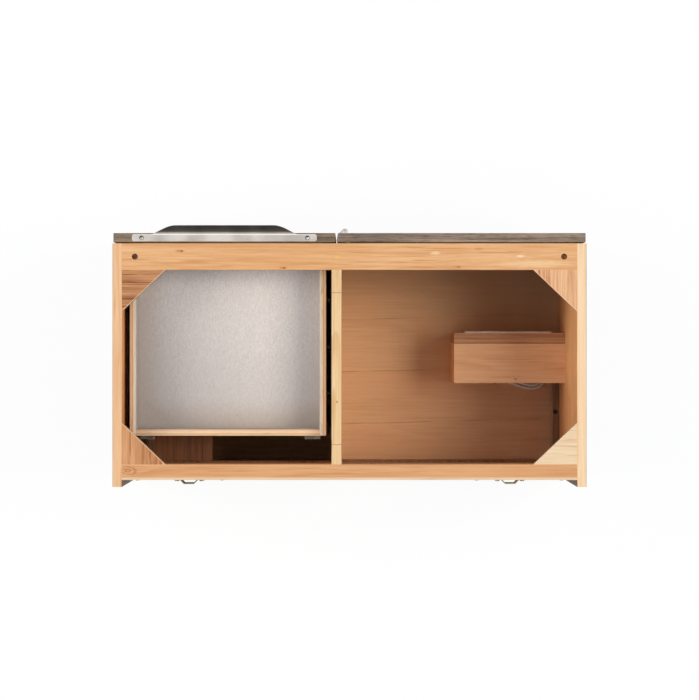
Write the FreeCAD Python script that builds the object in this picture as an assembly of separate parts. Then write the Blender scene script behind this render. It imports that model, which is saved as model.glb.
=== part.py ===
import FreeCAD, Part
import math
import os

from FreeCAD import Vector

# Wall-mounted vanity cabinet, open at the top where its countertop goes.
# Millimetres, +Z up, the front faces -Y, the wall is the plane Y = 0.
# The origin is on the wall, midway between the two hangers at their mid height.

# Small fasteners are many-sided, to keep them light
fastener_sides = 8

# Cabinet shell
cabinet_width = 914.4
cabinet_height = 558.0
side_depth = 470.0
side_thick = 18.0
bottom_thick = 18.0
back_thick = 5.0
back_recess = 13.5
back_groove_depth = 6.0
back_groove_stop = 24.0
fit_gap = 0.15
hang_drop = 62.0

# Top rails and corner blocks
front_rail_depth = 51.0
front_rail_thick = 20.0
back_rail_thick = 25.0
back_rail_height = 90.0
counter_hole_radius = 5.75
counter_hole_inset = 25.2
block_leg_x = 84.0
block_leg_y = 80.0
block_thick = 20.0

# Partition between the bays
partition_center_x = 25.0
partition_thick = 19.0
front_stile_width = 95.0
back_stile_width = 63.5
partition_rail_height = 70.0
slide_batten_height = 60.0
partition_panel_thick = 5.0

# Floor cleats
cleat_width = 16.0
cleat_height = 28.0
cleat_front_inset = 60.0
cleat_hole_radius = 4.5
cleat_hole_from_wall = 135.0

# Boards between the two drawers
divider_drop = 217.0
divider_thick = 20.0
stretcher_width = 116.0
stretcher_thick = 18.0
stretcher_side_gap = 49.0
divider_back_height = 60.0
divider_back_rise = 15.0

# Plumbing cut-out of the back panel
plumbing_width = 300.0
plumbing_height = 220.0
plumbing_drop = 200.0
plumbing_corner = 20.0

# Drawer fronts and door
front_thick = 17.5
front_standoff = 2.5
front_drop = 3.0
front_reveal = 1.5
gap_between_fronts = 4.6
door_edge_setback = 2.4
front_edge_chamfer = 0.8

# Drawer boxes
box_wall = 12.0
box_side_gap = 11.3
box_length = 375.0
box_bottom_thick = 9.0
box_bottom_recess = 13.8
box_groove = 6.0
upper_box_drop = 60.0
upper_box_height = 108.0
lower_box_top_gap = 63.0
lower_box_floor_gap = 40.0
liner_thick = 1.0
liner_edge_drop = 1.0

# Undermount slides
slide_sheet = 1.5
slide_flange_height = 22.0
slide_under_gap = 3.0
slide_reach = 54.0
slide_lip_height = 10.5
slide_lip_turn = 5.5
slide_behind_box = 10.0
slide_front_inset = 1.0
slide_windows = 4
slide_tab = 6.0
slide_window_land = 2.0
runner_sheet = 1.2
runner_width = 18.0
runner_height = 10.0
runner_gap = 0.6
carriage_gap = 0.8
carriage_leg = 13.3
carriage_wall_gap = 1.6

# Edge pulls
pull_length = 357.0
pull_depth = 13.4
pull_setback = 2.5
pull_sheet = 1.6
pull_corner = 4.0
pull_root = 286.6
pull_nose = 178.0
pull_root_radius = 15.0
pull_shoulder_radius = 62.0
pull_front_trim = 0.2
pull_reach = 16.0
pull_bend_reach = 1.5
pull_bend_radius = 3.5
pull_slope = 42.0
pull_tip_radius = 4.0
pull_tip_turn = 80.0
pull_lip = 7.0
pull_screw_inset = 18.5
pull_screw_radius = 1.6
pull_head_radius = 3.6
pull_head_height = 1.5
pull_screw_length = 16.0

# Concealed hinges
hinge_from_edge = 95.0
cup_radius = 17.5
cup_depth = 13.5
cup_wall = 0.7
cup_edge_gap = 2.5
cup_bore_gap = 0.1
cup_plate_thick = 1.2
cup_plate_length = 58.0
cup_plate_width = 17.0
hinge_pin_radius = 1.3
hinge_pin_half = 9.4
hinge_eye_radius = 2.6
hinge_pin_from_edge = 6.8
hinge_pin_depth = 9.8
hinge_eye_gap = 0.06
hinge_pin_gap = 0.05
arm_half_height = 4.5
arm_sheet = 2.0
arm_bend = 4.0
arm_rise = 8.0
arm_height = 14.0
arm_channel_sheet = 1.5
arm_front_inset = 8.0
arm_length = 58.0
plate_thick = 3.0
plate_wing_height = 54.0
plate_wing_width = 14.0
bumper_radius = 4.0
bumper_gap = 0.3
bumper_edge_gap = 20.0

# Wall hangers
hanger_center_x = 312.0
hanger_width = 62.0
hanger_tunnel_width = 21.0
hanger_splay = 7.0
hanger_stand = 9.5
hanger_sheet = 2.0
hanger_height = 44.0
hanger_bend = 2.0
wall_screw_radius = 2.0
wall_screw_head_radius = 4.2
wall_screw_head_height = 2.6
wall_screw_length = 20.0
panel_screw_inset = 29.2
panel_screw_pitch_share = 5
panel_screw_radius = 1.5
panel_screw_head_radius = 3.2
panel_screw_head_height = 1.8
panel_screw_length = 18.0

# Outlet enclosure on the left wall
outlet_width = 226.0
outlet_depth = 82.0
outlet_drop = 336.0
outlet_board = 18.0
outlet_front_board = 20.0
outlet_from_wall = 197.0
faceplate_end_gap = 20.3
faceplate_height = 72.0
faceplate_thick = 3.0
faceplate_corner = 6.0
faceplate_wall_gap = 24.7
faceplate_drop = 55.0
housing_side_lip = 15.5
housing_top_lip = 14.0
housing_depth = 76.0
socket_width = 34.0
socket_height = 28.0
socket_spacing = 78.0
socket_proud = 1.2
socket_depth = 8.0
socket_corner = 3.0
slot_width = 2.2
slot_height = 8.0
slot_spacing = 12.7
ground_radius = 2.4
ground_drop = 8.5

# Cord, put away as a hank on the cabinet floor
cord_diameter = 6.0
cord_sides = 6
hank_run = 108.0
hank_fold_radius = 19.0
hank_step = 7.1
hank_waist_pull = 9.0
hank_layer_step = 6.6
hank_loops_per_layer = 2
hank_tilt = 10.0
hank_from_side = 59.2
hank_under_outlet = 15.5
hank_floor_gap = 1.4
tie_sheet = 0.8
tie_width = 10.0
tie_gap = 0.3
tie_corner = 1.0
tie_from_waist = 13.0
lead_drop_run = 16.5
lead_bow = 1.5
lead_arc_share = 0.45
relief_length = 28.0
relief_root_radius = 6.0
relief_tip_radius = 3.8
relief_flange = 3.0
relief_flange_radius = 8.0
plug_length = 34.0
plug_width = 24.0
plug_height = 22.0
plug_neck = 9.0
plug_shoulder = 11.0
plug_corner = 5.0
plug_neck_corner = 2.0
plug_rest_gap = 0.4
blade_length = 16.0
blade_width = 6.3
blade_thick = 1.5
blade_spacing = 12.7
earth_radius = 2.4
earth_offset = 6.5

# Places worked out from the driving sizes
half_width = cabinet_width / 2
inner_x = half_width - side_thick
top_z = hang_drop
bottom_z = top_z - cabinet_height
floor_z = bottom_z + bottom_thick
front_y = -side_depth
panel_back_y = -back_recess
panel_front_y = panel_back_y - back_thick
front_back_y = front_y - front_standoff
face_y = front_back_y - front_thick
partition_x0 = partition_center_x - partition_thick / 2
partition_x1 = partition_center_x + partition_thick / 2
stile_front_y = front_y + front_stile_width
stile_back_y = panel_front_y - back_stile_width
door_x0 = -half_width + front_reveal
door_x1 = partition_center_x - door_edge_setback
drawer_x0 = door_x1 + gap_between_fronts
drawer_x1 = half_width - front_reveal
front_top_z = top_z - front_drop
divider_top_z = top_z - divider_drop
fronts_meet_z = divider_top_z - divider_thick / 2
upper_box_top_z = top_z - upper_box_drop
upper_box_low_z = upper_box_top_z - upper_box_height
lower_box_top_z = divider_top_z - divider_thick - lower_box_top_gap
lower_box_low_z = floor_z + lower_box_floor_gap
outlet_x1 = -inner_x + outlet_width
outlet_top_z = top_z - outlet_drop
outlet_back_y = -outlet_from_wall
outlet_inner_y = outlet_back_y - outlet_depth
outlet_face_y = outlet_inner_y - outlet_front_board
faceplate_x0 = -inner_x + faceplate_wall_gap
faceplate_x1 = outlet_x1 - faceplate_end_gap
faceplate_x = (faceplate_x0 + faceplate_x1) / 2
faceplate_z = outlet_top_z - faceplate_drop

PLAN = (Vector(1, 0, 0), Vector(0, 1, 0))
FRONT = (Vector(1, 0, 0), Vector(0, 0, 1))
SIDE = (Vector(0, 1, 0), Vector(0, 0, 1))

nodes = {}


def slab(x_span, y_span, z_span):
    """Board between two limits on each axis."""
    low = Vector(min(x_span), min(y_span), min(z_span))
    high = Vector(max(x_span), max(y_span), max(z_span))
    size = high - low
    return Part.makeBox(size.x, size.y, size.z, low)


def rod(radius, start, end):
    """Round bar from one point to another."""
    axis = end - start
    return Part.makeCylinder(radius, axis.Length, start, axis)


def outline(points, plane, origin=Vector(0, 0, 0)):
    """Closed run of straight edges in a plane."""
    corners = [origin + plane[0] * u + plane[1] * v for u, v in points]
    return Part.makePolygon(corners + corners[:1])


def many_sided(radius, sides):
    """Corners of a regular figure round a middle point."""
    angles = [2 * math.pi * index / sides for index in range(sides)]
    return [(radius * math.cos(angle), radius * math.sin(angle)) for angle in angles]


def ring_across(radius, sides, center, axis):
    """Many-sided ring square to an axis."""
    turn = FreeCAD.Rotation(Vector(0, 0, 1), axis)
    plane = (turn.multVec(Vector(1, 0, 0)), turn.multVec(Vector(0, 1, 0)))
    return outline(many_sided(radius, sides), plane, center)


def faceted(rings):
    """Solid with flat faces between closed runs of as many edges each."""
    faces = [Part.Face(rings[0]), Part.Face(rings[-1])]
    for low, high in zip(rings, rings[1:]):
        low_spots = [v.Point for v in low.OrderedVertexes]
        high_spots = [v.Point for v in high.OrderedVertexes]
        for index, spot in enumerate(low_spots):
            above = high_spots[index]
            corners = [low_spots[index - 1], spot, above, high_spots[index - 1]]
            faces.append(Part.Face(Part.makePolygon(corners + corners[:1])))
    solid = Part.Solid(Part.Shell(faces))
    return solid if solid.Volume > 0 else solid.reversed()


def small_bar(radius, start, end, end_radius=None):
    """Many-sided bar for fasteners and their holes, tapered if its end radius differs."""
    last = radius if end_radius is None else end_radius
    rings = [ring_across(radius, fastener_sides, start, end - start),
             ring_across(last, fastener_sides, end, end - start)]
    return faceted(rings)


def cut_corners(half_u, half_v, corner):
    """Rectangle with its corners cut off at 45 degrees."""
    quarter = [(half_u, half_v - corner), (half_u - corner, half_v)]
    half = quarter + [(-u, v) for u, v in reversed(quarter)]
    return half + [(-u, -v) for u, v in half]


def rounded_slab(x_span, y_span, z_span, radius, along):
    """Board whose four edges along one axis are rounded."""
    board = slab(x_span, y_span, z_span)
    edges = [e for e in board.Edges if abs(e.tangentAt(e.FirstParameter).dot(along)) > 0.99]
    return board.makeFillet(radius, edges)


def folded_sheet(points, radii, thick, plane, origin, sweep):
    """Bent sheet: its middle line goes through the corner points with a bend or a sharp fold at each."""
    spots = [Vector(u, v, 0) for u, v in points]
    faces = {1: [], -1: []}
    last = {1: None, -1: None}

    def put(flat):
        return origin + plane[0] * flat.x + plane[1] * flat.y

    def left_of(heading):
        return Vector(-heading.y, heading.x, 0)

    def reach(side, flat):
        if last[side] is not None and (flat - last[side]).Length > 1e-6:
            faces[side].append(Part.LineSegment(put(last[side]), put(flat)).toShape())
        last[side] = flat

    headings = [(b - a).normalize() for a, b in zip(spots, spots[1:])]
    for side in faces:
        reach(side, spots[0] + left_of(headings[0]) * (side * thick / 2))
    for corner, radius, before, after in zip(spots[1:-1], radii, headings, headings[1:]):
        if radius == 0:
            miter = (left_of(before) + left_of(after)) / (1 + before.dot(after))
            for side in faces:
                reach(side, corner + miter * (side * thick / 2))
            continue
        turn = math.atan2(before.cross(after).z, before.dot(after))
        hand = 1 if turn > 0 else -1
        setback = radius * math.tan(abs(turn) / 2)
        start = corner - before * setback
        end = corner + after * setback
        center = start + left_of(before) * (hand * radius)
        middle = ((start - center) + (end - center)).normalize()
        for side in faces:
            bend = radius - hand * side * thick / 2
            reach(side, start + left_of(before) * (side * thick / 2))
            stop = end + left_of(after) * (side * thick / 2)
            arc = Part.Arc(put(last[side]), put(center + middle * bend), put(stop))
            faces[side].append(arc.toShape())
            last[side] = stop
    for side in faces:
        reach(side, spots[-1] + left_of(headings[-1]) * (side * thick / 2))
    first_cap = Part.LineSegment(
        faces[1][0].Vertexes[0].Point, faces[-1][0].Vertexes[0].Point).toShape()
    last_cap = Part.LineSegment(put(last[1]), put(last[-1])).toShape()
    edges = Part.__sortEdges__(faces[1] + faces[-1] + [first_cap, last_cap])
    return Part.Face(Part.Wire(edges)).extrude(sweep)


def screw(head, axis, head_radius, head_height, shank_radius, length):
    """Pan head on its seat, with the shank going down the axis."""
    cap = small_bar(head_radius, head, head - axis * head_height)
    return cap.fuse(small_bar(shank_radius, head, head + axis * length)).removeSplitter()


def screw_hole(head, axis, shank_radius, length):
    """Pilot hole for a screw's shank, a little deeper than the screw."""
    return small_bar(shank_radius + fit_gap, head - axis * fit_gap, head + axis * (length + fit_gap))


def put_node(name, *solids):
    """Keeps a node's solids under its name."""
    nodes[name] = solids[0] if len(solids) == 1 else Part.makeCompound(list(solids))


# Screws that hold the hangers and the back panel
back_axis = Vector(0, -1, 0)
hanger_seats = []
for side in (-1, 1):
    for flange in (-1, 1):
        flange_middle = (hanger_width + hanger_tunnel_width) / 4 + hanger_splay / 2
        seat_x = side * hanger_center_x + flange * flange_middle
        hanger_seats.append(Vector(seat_x, panel_back_y + hanger_sheet, 0))
panel_seats = []
panel_screw_outer = inner_x - panel_screw_inset
panel_screw_inner = panel_screw_outer - 2 * panel_screw_outer / panel_screw_pitch_share
for row_z in (top_z - front_rail_thick, bottom_z + bottom_thick / 2):
    for seat_x in (-panel_screw_outer, -panel_screw_inner, panel_screw_inner, panel_screw_outer):
        panel_seats.append(Vector(seat_x, panel_back_y, row_z))
hanger_holes = [screw_hole(seat, back_axis, wall_screw_radius, wall_screw_length)
                for seat in hanger_seats]
panel_holes = [screw_hole(seat, back_axis, panel_screw_radius, panel_screw_length)
               for seat in panel_seats]
back_holes = hanger_holes + panel_holes


# Cabinet shell
def side_panel(side):
    """Side panel with the stopped groove that takes the back panel's edge."""
    inner = side * inner_x
    board = slab((inner, side * half_width), (front_y, 0), (bottom_z, top_z))
    groove_y = (panel_front_y - fit_gap, panel_back_y + fit_gap)
    groove_x = (inner, inner + side * back_groove_depth)
    return board.cut(slab(groove_x, groove_y, (bottom_z, top_z - back_groove_stop)))


put_node("side_panel_left", side_panel(-1))
put_node("side_panel_right", side_panel(1))

bottom = slab((-inner_x, inner_x), (front_y, panel_front_y), (bottom_z, floor_z))
put_node("bottom_panel", bottom.cut(back_holes))

back_edge_x = inner_x + back_groove_depth - fit_gap
back_y = (panel_front_y, panel_back_y)
back_low = slab((-back_edge_x, back_edge_x), back_y, (bottom_z, top_z - back_groove_stop - fit_gap))
back_high = slab((-inner_x, inner_x), back_y, (bottom_z, top_z))
back_sheet = back_low.fuse(back_high).removeSplitter()
plumbing_x = (partition_x0 - inner_x) / 2
plumbing_hole = rounded_slab(
    (plumbing_x - plumbing_width / 2, plumbing_x + plumbing_width / 2),
    (panel_front_y - back_thick, 0),
    (top_z - plumbing_drop - plumbing_height, top_z - plumbing_drop),
    plumbing_corner, Vector(0, 1, 0))
put_node("back_panel", back_sheet.cut([plumbing_hole] + back_holes))

front_rail_y = front_y + front_rail_depth
front_rail_z = top_z - front_rail_thick
front_rail = slab((-inner_x, inner_x), (front_y, front_rail_y), (front_rail_z, top_z))
counter_hole_x = inner_x - counter_hole_inset
counter_hole_y = front_y + front_rail_depth / 2
counter_holes = []
for side in (-1, 1):
    low = Vector(side * counter_hole_x, counter_hole_y, front_rail_z)
    counter_holes.append(rod(counter_hole_radius, low, low + Vector(0, 0, front_rail_thick)))
put_node("front_rail", front_rail.cut(counter_holes))

back_rail_y = panel_front_y - back_rail_thick
back_rail_z = top_z - back_rail_height
back_rail = slab((-inner_x, inner_x), (back_rail_y, panel_front_y), (back_rail_z, top_z))
put_node("back_rail", back_rail.cut(back_holes))


# Triangular blocks that brace the four top corners
def corner_block(side, rail_y, away):
    """Right triangle in the corner of a side panel and a rail."""
    corner = (side * inner_x, rail_y)
    along_rail = (side * (inner_x - block_leg_x), rail_y)
    along_side = (side * inner_x, rail_y + away * block_leg_y)
    edges = outline([corner, along_rail, along_side], PLAN, Vector(0, 0, top_z - block_thick))
    return Part.Face(edges).extrude(Vector(0, 0, block_thick))


for side, hand in ((-1, "left"), (1, "right")):
    put_node("corner_block_front_" + hand, corner_block(side, front_rail_y, 1))
    put_node("corner_block_back_" + hand, corner_block(side, back_rail_y, -1))

# Partition: two stiles notched under the rails, rails and battens between them, a thin panel
partition_x = (partition_x0, partition_x1)
rail_notch = slab(partition_x, (front_y, front_rail_y), (front_rail_z, top_z))
front_stile = slab(partition_x, (front_y, stile_front_y), (floor_z, top_z))
put_node("partition_front_stile", front_stile.cut(rail_notch))
back_notch = slab(partition_x, (back_rail_y, panel_front_y), (back_rail_z, top_z))
back_stile = slab(partition_x, (stile_back_y, panel_front_y), (floor_z, top_z))
put_node("partition_back_stile", back_stile.cut(back_notch))

between_stiles = (stile_front_y, stile_back_y)
partition_top_low = top_z - partition_rail_height
top_rail = slab(partition_x, between_stiles, (partition_top_low, top_z))
batten_x = (partition_x0 + partition_panel_thick, partition_x1)
batten_lows = [floor_z]
for box_low_z in (upper_box_low_z, lower_box_low_z):
    batten_lows.append(box_low_z + (slide_flange_height - slide_batten_height) / 2)
battens = [slab(batten_x, between_stiles, (z, z + slide_batten_height)) for z in batten_lows]
put_node("partition_rails", top_rail, *battens)
panel_x = (partition_x0, partition_x0 + partition_panel_thick)
put_node("partition_panel", slab(panel_x, between_stiles, (floor_z, partition_top_low)))

# Cleats that fasten the floor to the sides and the back
cleat_z = (floor_z, floor_z + cleat_height)
cleat_hole_y = -cleat_hole_from_wall
side_cleats = []
for side, start_y in ((-1, outlet_inner_y), (1, front_y + cleat_front_inset)):
    cleat_x = (side * inner_x, side * (inner_x - cleat_width))
    cleat = slab(cleat_x, (start_y, panel_front_y), cleat_z)
    hole_low = Vector(side * (inner_x - cleat_width / 2), cleat_hole_y, floor_z)
    hole = rod(cleat_hole_radius, hole_low, hole_low + Vector(0, 0, cleat_height))
    side_cleats.append(cleat.cut(hole))
cleat_y = (panel_front_y - cleat_width, panel_front_y)
left_back_cleat = slab((-inner_x + cleat_width, partition_x0), cleat_y, cleat_z)
right_back_cleat = slab((partition_x1, inner_x - cleat_width), cleat_y, cleat_z)
put_node("floor_cleats", *side_cleats, left_back_cleat, right_back_cleat)

# Divider boards between the two drawers
bay_x = (partition_x1, inner_x)
divider_z = (divider_top_z - divider_thick, divider_top_z)
divider_front = slab(bay_x, (front_y, front_rail_y), divider_z)
stretcher_x1 = inner_x - stretcher_side_gap
stretcher_x = (stretcher_x1 - stretcher_width, stretcher_x1)
stretcher_z = (divider_top_z - stretcher_thick, divider_top_z)
put_node("divider_stretcher", slab(stretcher_x, (front_rail_y, back_rail_y), stretcher_z))
divider_back_top = divider_top_z + divider_back_rise
divider_back_z = (divider_back_top - divider_back_height, divider_back_top)
divider_back = slab(bay_x, (back_rail_y, panel_front_y), divider_back_z)
put_node("divider_rails", divider_front, divider_back)


# Wall hangers: hat-section straps with a tunnel for the wall hook's tongue
def wall_hanger(side):
    """Strap with two flat flanges and a raised middle whose walls lean outwards."""
    flat = hanger_sheet / 2
    raised = hanger_stand - hanger_sheet / 2
    half = hanger_width / 2
    tunnel = (hanger_tunnel_width - hanger_sheet) / 2
    points = [(-half, flat), (-tunnel - hanger_splay, flat), (-tunnel, raised)]
    points += [(-u, v) for u, v in reversed(points)]
    low = Vector(side * hanger_center_x, panel_back_y, -hanger_height / 2)
    sweep = Vector(0, 0, hanger_height)
    strap = folded_sheet(points, [hanger_bend] * 4, hanger_sheet, PLAN, low, sweep)
    return strap.cut(hanger_holes)


put_node("wall_hangers", wall_hanger(-1), wall_hanger(1))
hanger_screws = [screw(seat, back_axis, wall_screw_head_radius, wall_screw_head_height,
                       wall_screw_radius, wall_screw_length) for seat in hanger_seats]
panel_screws = [screw(seat, back_axis, panel_screw_head_radius, panel_screw_head_height,
                      panel_screw_radius, panel_screw_length) for seat in panel_seats]
put_node("rear_screws", *hanger_screws, *panel_screws)

# Edge pull, made once in its own place: the edge it sits on is z = 0, the front face is y = 0
pull_back_y = pull_setback + pull_depth
pull_screw_y = pull_setback + pull_depth / 2
pull_corner_cut = math.tan(math.radians(pull_tip_turn / 2)) * math.cos(math.radians(pull_slope))
pull_corner_cut += math.sin(math.radians(pull_slope)) - 1
pull_nose_y = -pull_reach + pull_sheet / 2 - pull_tip_radius * pull_corner_cut
pull_screw_x = pull_length / 2 - pull_screw_inset


def edge_pull():
    """Bent sheet cut to its plan outline: a flat flange, a slanted nose with S-curve ends, a lip."""
    middle = pull_sheet / 2
    slope = math.radians(pull_slope)
    lip_angle = math.radians(pull_slope + pull_tip_turn)
    nose_drop = (-pull_bend_reach - pull_nose_y) * math.tan(slope)
    low_corner = (pull_nose_y, middle - nose_drop)
    tip = (low_corner[0] - pull_lip * math.cos(lip_angle), low_corner[1] - pull_lip * math.sin(lip_angle))
    section = [(pull_back_y, middle), (-pull_bend_reach, middle), low_corner, tip]
    radii = [pull_bend_radius, pull_tip_radius]
    start = Vector(-pull_length / 2, 0, 0)
    sheet = folded_sheet(section, radii, pull_sheet, SIDE, start, Vector(pull_length, 0, 0))
    tall = (tip[1] - pull_sheet, 2 * pull_sheet)
    flange_x = (-pull_length / 2, pull_length / 2)
    flange = rounded_slab(flange_x, (pull_setback, pull_back_y), tall, pull_corner, Vector(0, 0, 1))
    plan = flange.fuse(nose_plan(tall))
    holes = []
    for side in (-1, 1):
        top = Vector(side * pull_screw_x, pull_screw_y, pull_sheet)
        holes.append(countersink(top, pull_screw_radius + fit_gap, pull_head_radius + fit_gap))
    return sheet.common(plan).cut(holes)


def nose_plan(z_span):
    """Upright block whose ends are S-curves: a root arc, a slanted line and a shoulder arc."""
    root = pull_root / 2
    nose = pull_nose / 2
    front = -pull_reach - pull_front_trim
    rise = pull_setback - front
    run = root - nose
    both_radii = pull_root_radius + pull_shoulder_radius
    centers_apart = math.hypot(run, both_radii - rise)
    slant = math.atan2(run, both_radii - rise) - math.acos(both_radii / centers_apart)
    low = z_span[0]

    def spot(x, y):
        return Vector(x, y, low)

    def root_spot(side, turn):
        inward = pull_root_radius * math.sin(turn)
        return spot(side * (root - inward), pull_setback - pull_root_radius * (1 - math.cos(turn)))

    def shoulder_spot(side, turn):
        outward = pull_shoulder_radius * math.sin(turn)
        return spot(side * (nose + outward), front + pull_shoulder_radius * (1 - math.cos(turn)))

    edges = []
    for side in (-1, 1):
        rooted = [root_spot(side, slant * share) for share in (0, 0.5, 1)]
        shouldered = [shoulder_spot(side, slant * share) for share in (1, 0.5, 0)]
        edges.append(Part.Arc(*rooted).toShape())
        edges.append(Part.LineSegment(rooted[-1], shouldered[0]).toShape())
        edges.append(Part.Arc(*shouldered).toShape())
    edges.append(Part.LineSegment(spot(-nose, front), spot(nose, front)).toShape())
    back = [spot(-root, pull_setback), spot(-root, pull_back_y),
            spot(root, pull_back_y), spot(root, pull_setback)]
    edges += [Part.LineSegment(a, b).toShape() for a, b in zip(back, back[1:])]
    face = Part.Face(Part.Wire(Part.__sortEdges__(edges)))
    return face.extrude(Vector(0, 0, z_span[1] - z_span[0]))


def countersink(top, hole_radius, mouth_radius):
    """Through hole with a tapered seat below its mouth."""
    seat = small_bar(mouth_radius, top, top - Vector(0, 0, pull_head_height), hole_radius)
    return seat.fuse(small_bar(hole_radius, top, top - Vector(0, 0, 2 * pull_sheet)))


def pull_screws():
    """Countersunk screws, heads flush with the flange."""
    made = []
    for side in (-1, 1):
        top = Vector(side * pull_screw_x, pull_screw_y, pull_sheet)
        head = small_bar(pull_head_radius, top, top - Vector(0, 0, pull_head_height), pull_screw_radius)
        shank = small_bar(pull_screw_radius, top, top - Vector(0, 0, pull_screw_length))
        made.append(head.fuse(shank).removeSplitter())
    return made


def pull_pilots():
    """Pilot holes under the pull's screws."""
    made = []
    for side in (-1, 1):
        top = Vector(side * pull_screw_x, pull_screw_y, pull_sheet)
        made.append(screw_hole(top, Vector(0, 0, -1), pull_screw_radius, pull_screw_length))
    return made


def placed(shapes, place):
    """Copies of shapes made in their own place, moved to where they belong."""
    moved = []
    for shape in shapes:
        copy = shape.copy()
        copy.Placement = place.multiply(copy.Placement)
        moved.append(copy)
    return moved


def front_board(x_span, z_span, pilots):
    """Drawer front or door: a board with eased outer edges and pilot holes for its pull."""
    board = slab(x_span, (face_y, front_back_y), z_span)
    outer = [e for e in board.Edges if max(v.Y for v in e.Vertexes) < face_y + fit_gap]
    return board.makeChamfer(front_edge_chamfer, outer).cut(pilots)


# Slides, drawn from the bay's wall inwards and up from the drawer side's lower edge
slide_front_y = front_back_y + box_wall + slide_front_inset
box_back_y = front_back_y + box_length
rail_rear_y = box_back_y + slide_behind_box
inside_u = box_side_gap + box_wall
carriage_u0 = inside_u + carriage_wall_gap
runner_u0 = carriage_u0 + runner_sheet + carriage_gap
runner_u1 = runner_u0 + runner_width
carriage_u1 = runner_u1 + carriage_gap + runner_sheet


def slide_member(points, thick, rear_y, base_z):
    """One member on each wall of the drawer bay."""
    made = []
    sweep = Vector(0, rear_y - slide_front_y, 0)
    for wall, inward in ((partition_x1, 1), (inner_x, -1)):
        plane = (Vector(inward, 0, 0), Vector(0, 0, 1))
        origin = Vector(wall, slide_front_y, base_z)
        made.append(folded_sheet(points, [0] * (len(points) - 2), thick, plane, origin, sweep))
    return made


def rail_windows(base_z):
    """Punched windows between a rail's wall flange and its track; the last one is open at the rear."""
    made = []
    pitch = (rail_rear_y - slide_front_y) / slide_windows
    window_z = (base_z - slide_under_gap - 2 * slide_sheet, base_z - slide_under_gap + slide_sheet)
    for wall, inward in ((partition_x1, 1), (inner_x, -1)):
        window_x = (wall + inward * (slide_sheet + slide_window_land), wall + inward * inside_u)
        for number in range(slide_windows):
            front_end = slide_front_y + slide_tab + number * pitch
            made.append(slab(window_x, (front_end, front_end + pitch - slide_tab), window_z))
    return made


def slide_set(name, base_z):
    """Cabinet rail, middle runner and drawer carriage of one drawer."""
    half = slide_sheet / 2
    web = -slide_under_gap - half
    lip = slide_reach - half
    lip_top = web + slide_lip_height
    rail = [(half, slide_flange_height), (half, web), (lip, web),
            (lip, lip_top), (lip - slide_lip_turn, lip_top)]
    rails = slide_member(rail, slide_sheet, rail_rear_y, base_z)
    put_node(name + "_slide_rails", *[member.cut(rail_windows(base_z)) for member in rails])
    thin = runner_sheet / 2
    floor = -slide_under_gap + runner_gap + thin
    left = runner_u0 + thin
    right = runner_u1 - thin
    runner = [(left, floor + runner_height), (left, floor), (right, floor), (right, floor + runner_height)]
    put_node(name + "_slide_runners", *slide_member(runner, runner_sheet, box_back_y, base_z))
    roof = box_bottom_recess - thin
    left = carriage_u0 + thin
    right = carriage_u1 - thin
    foot = box_bottom_recess - carriage_leg
    carriage = [(left, foot), (left, roof), (right, roof), (right, foot)]
    put_node(name + "_slide_carriages", *slide_member(carriage, runner_sheet, box_back_y, base_z))


# Drawers
box_x0 = partition_x1 + box_side_gap
box_x1 = inner_x - box_side_gap
well_x0 = box_x0 + box_wall
well_x1 = box_x1 - box_wall
well_y0 = front_back_y + box_wall
well_y1 = box_back_y - box_wall


def drawer(name, front_span, box_low, box_top):
    """Front with its pull, a plywood box with a grooved-in bottom, and a lining."""
    bottom_low = box_low + box_bottom_recess
    bottom_top = bottom_low + box_bottom_thick
    box_z = (box_low, box_top)
    groove = slab((well_x0 - box_groove - fit_gap, well_x1 + box_groove + fit_gap),
                  (well_y0 - box_groove - fit_gap, box_back_y),
                  (bottom_low, bottom_top + fit_gap))
    left = slab((box_x0, well_x0), (front_back_y, box_back_y), box_z)
    right = slab((well_x1, box_x1), (front_back_y, box_back_y), box_z)
    inner_front = slab((well_x0, well_x1), (front_back_y, well_y0), box_z)
    rear = slab((well_x0, well_x1), (well_y1, box_back_y), (bottom_top + fit_gap, box_top))
    put_node(name + "_drawer_sides", left.cut(groove), right.cut(groove))
    put_node(name + "_drawer_ends", inner_front.cut(groove), rear)
    put_node(name + "_drawer_bottom", slab((well_x0 - box_groove, well_x1 + box_groove),
                                           (well_y0 - box_groove, box_back_y), (bottom_low, bottom_top)))
    lining_z = (bottom_top + fit_gap, box_top - liner_edge_drop)
    lining = slab((well_x0, well_x1), (well_y0, well_y1), lining_z)
    hollow = slab((well_x0 + liner_thick, well_x1 - liner_thick),
                  (well_y0 + liner_thick, well_y1 - liner_thick),
                  (lining_z[0] + liner_thick, box_top))
    put_node(name + "_drawer_liner", lining.cut(hollow))
    pull_at = Vector((drawer_x0 + drawer_x1) / 2, face_y, max(front_span))
    place = FreeCAD.Placement(pull_at, FreeCAD.Rotation())
    front = front_board((drawer_x0, drawer_x1), front_span, placed(pull_pilots(), place))
    put_node(name + "_drawer_front", front)
    put_node(name + "_drawer_pull", *placed([edge_pull()], place))
    put_node(name + "_pull_screws", *placed(pull_screws(), place))
    slide_set(name, box_low)


half_front_gap = gap_between_fronts / 2
drawer("upper", (fronts_meet_z + half_front_gap, front_top_z), upper_box_low_z, upper_box_top_z)
drawer("lower", (bottom_z, fronts_meet_z - half_front_gap), lower_box_low_z, lower_box_top_z)

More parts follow.
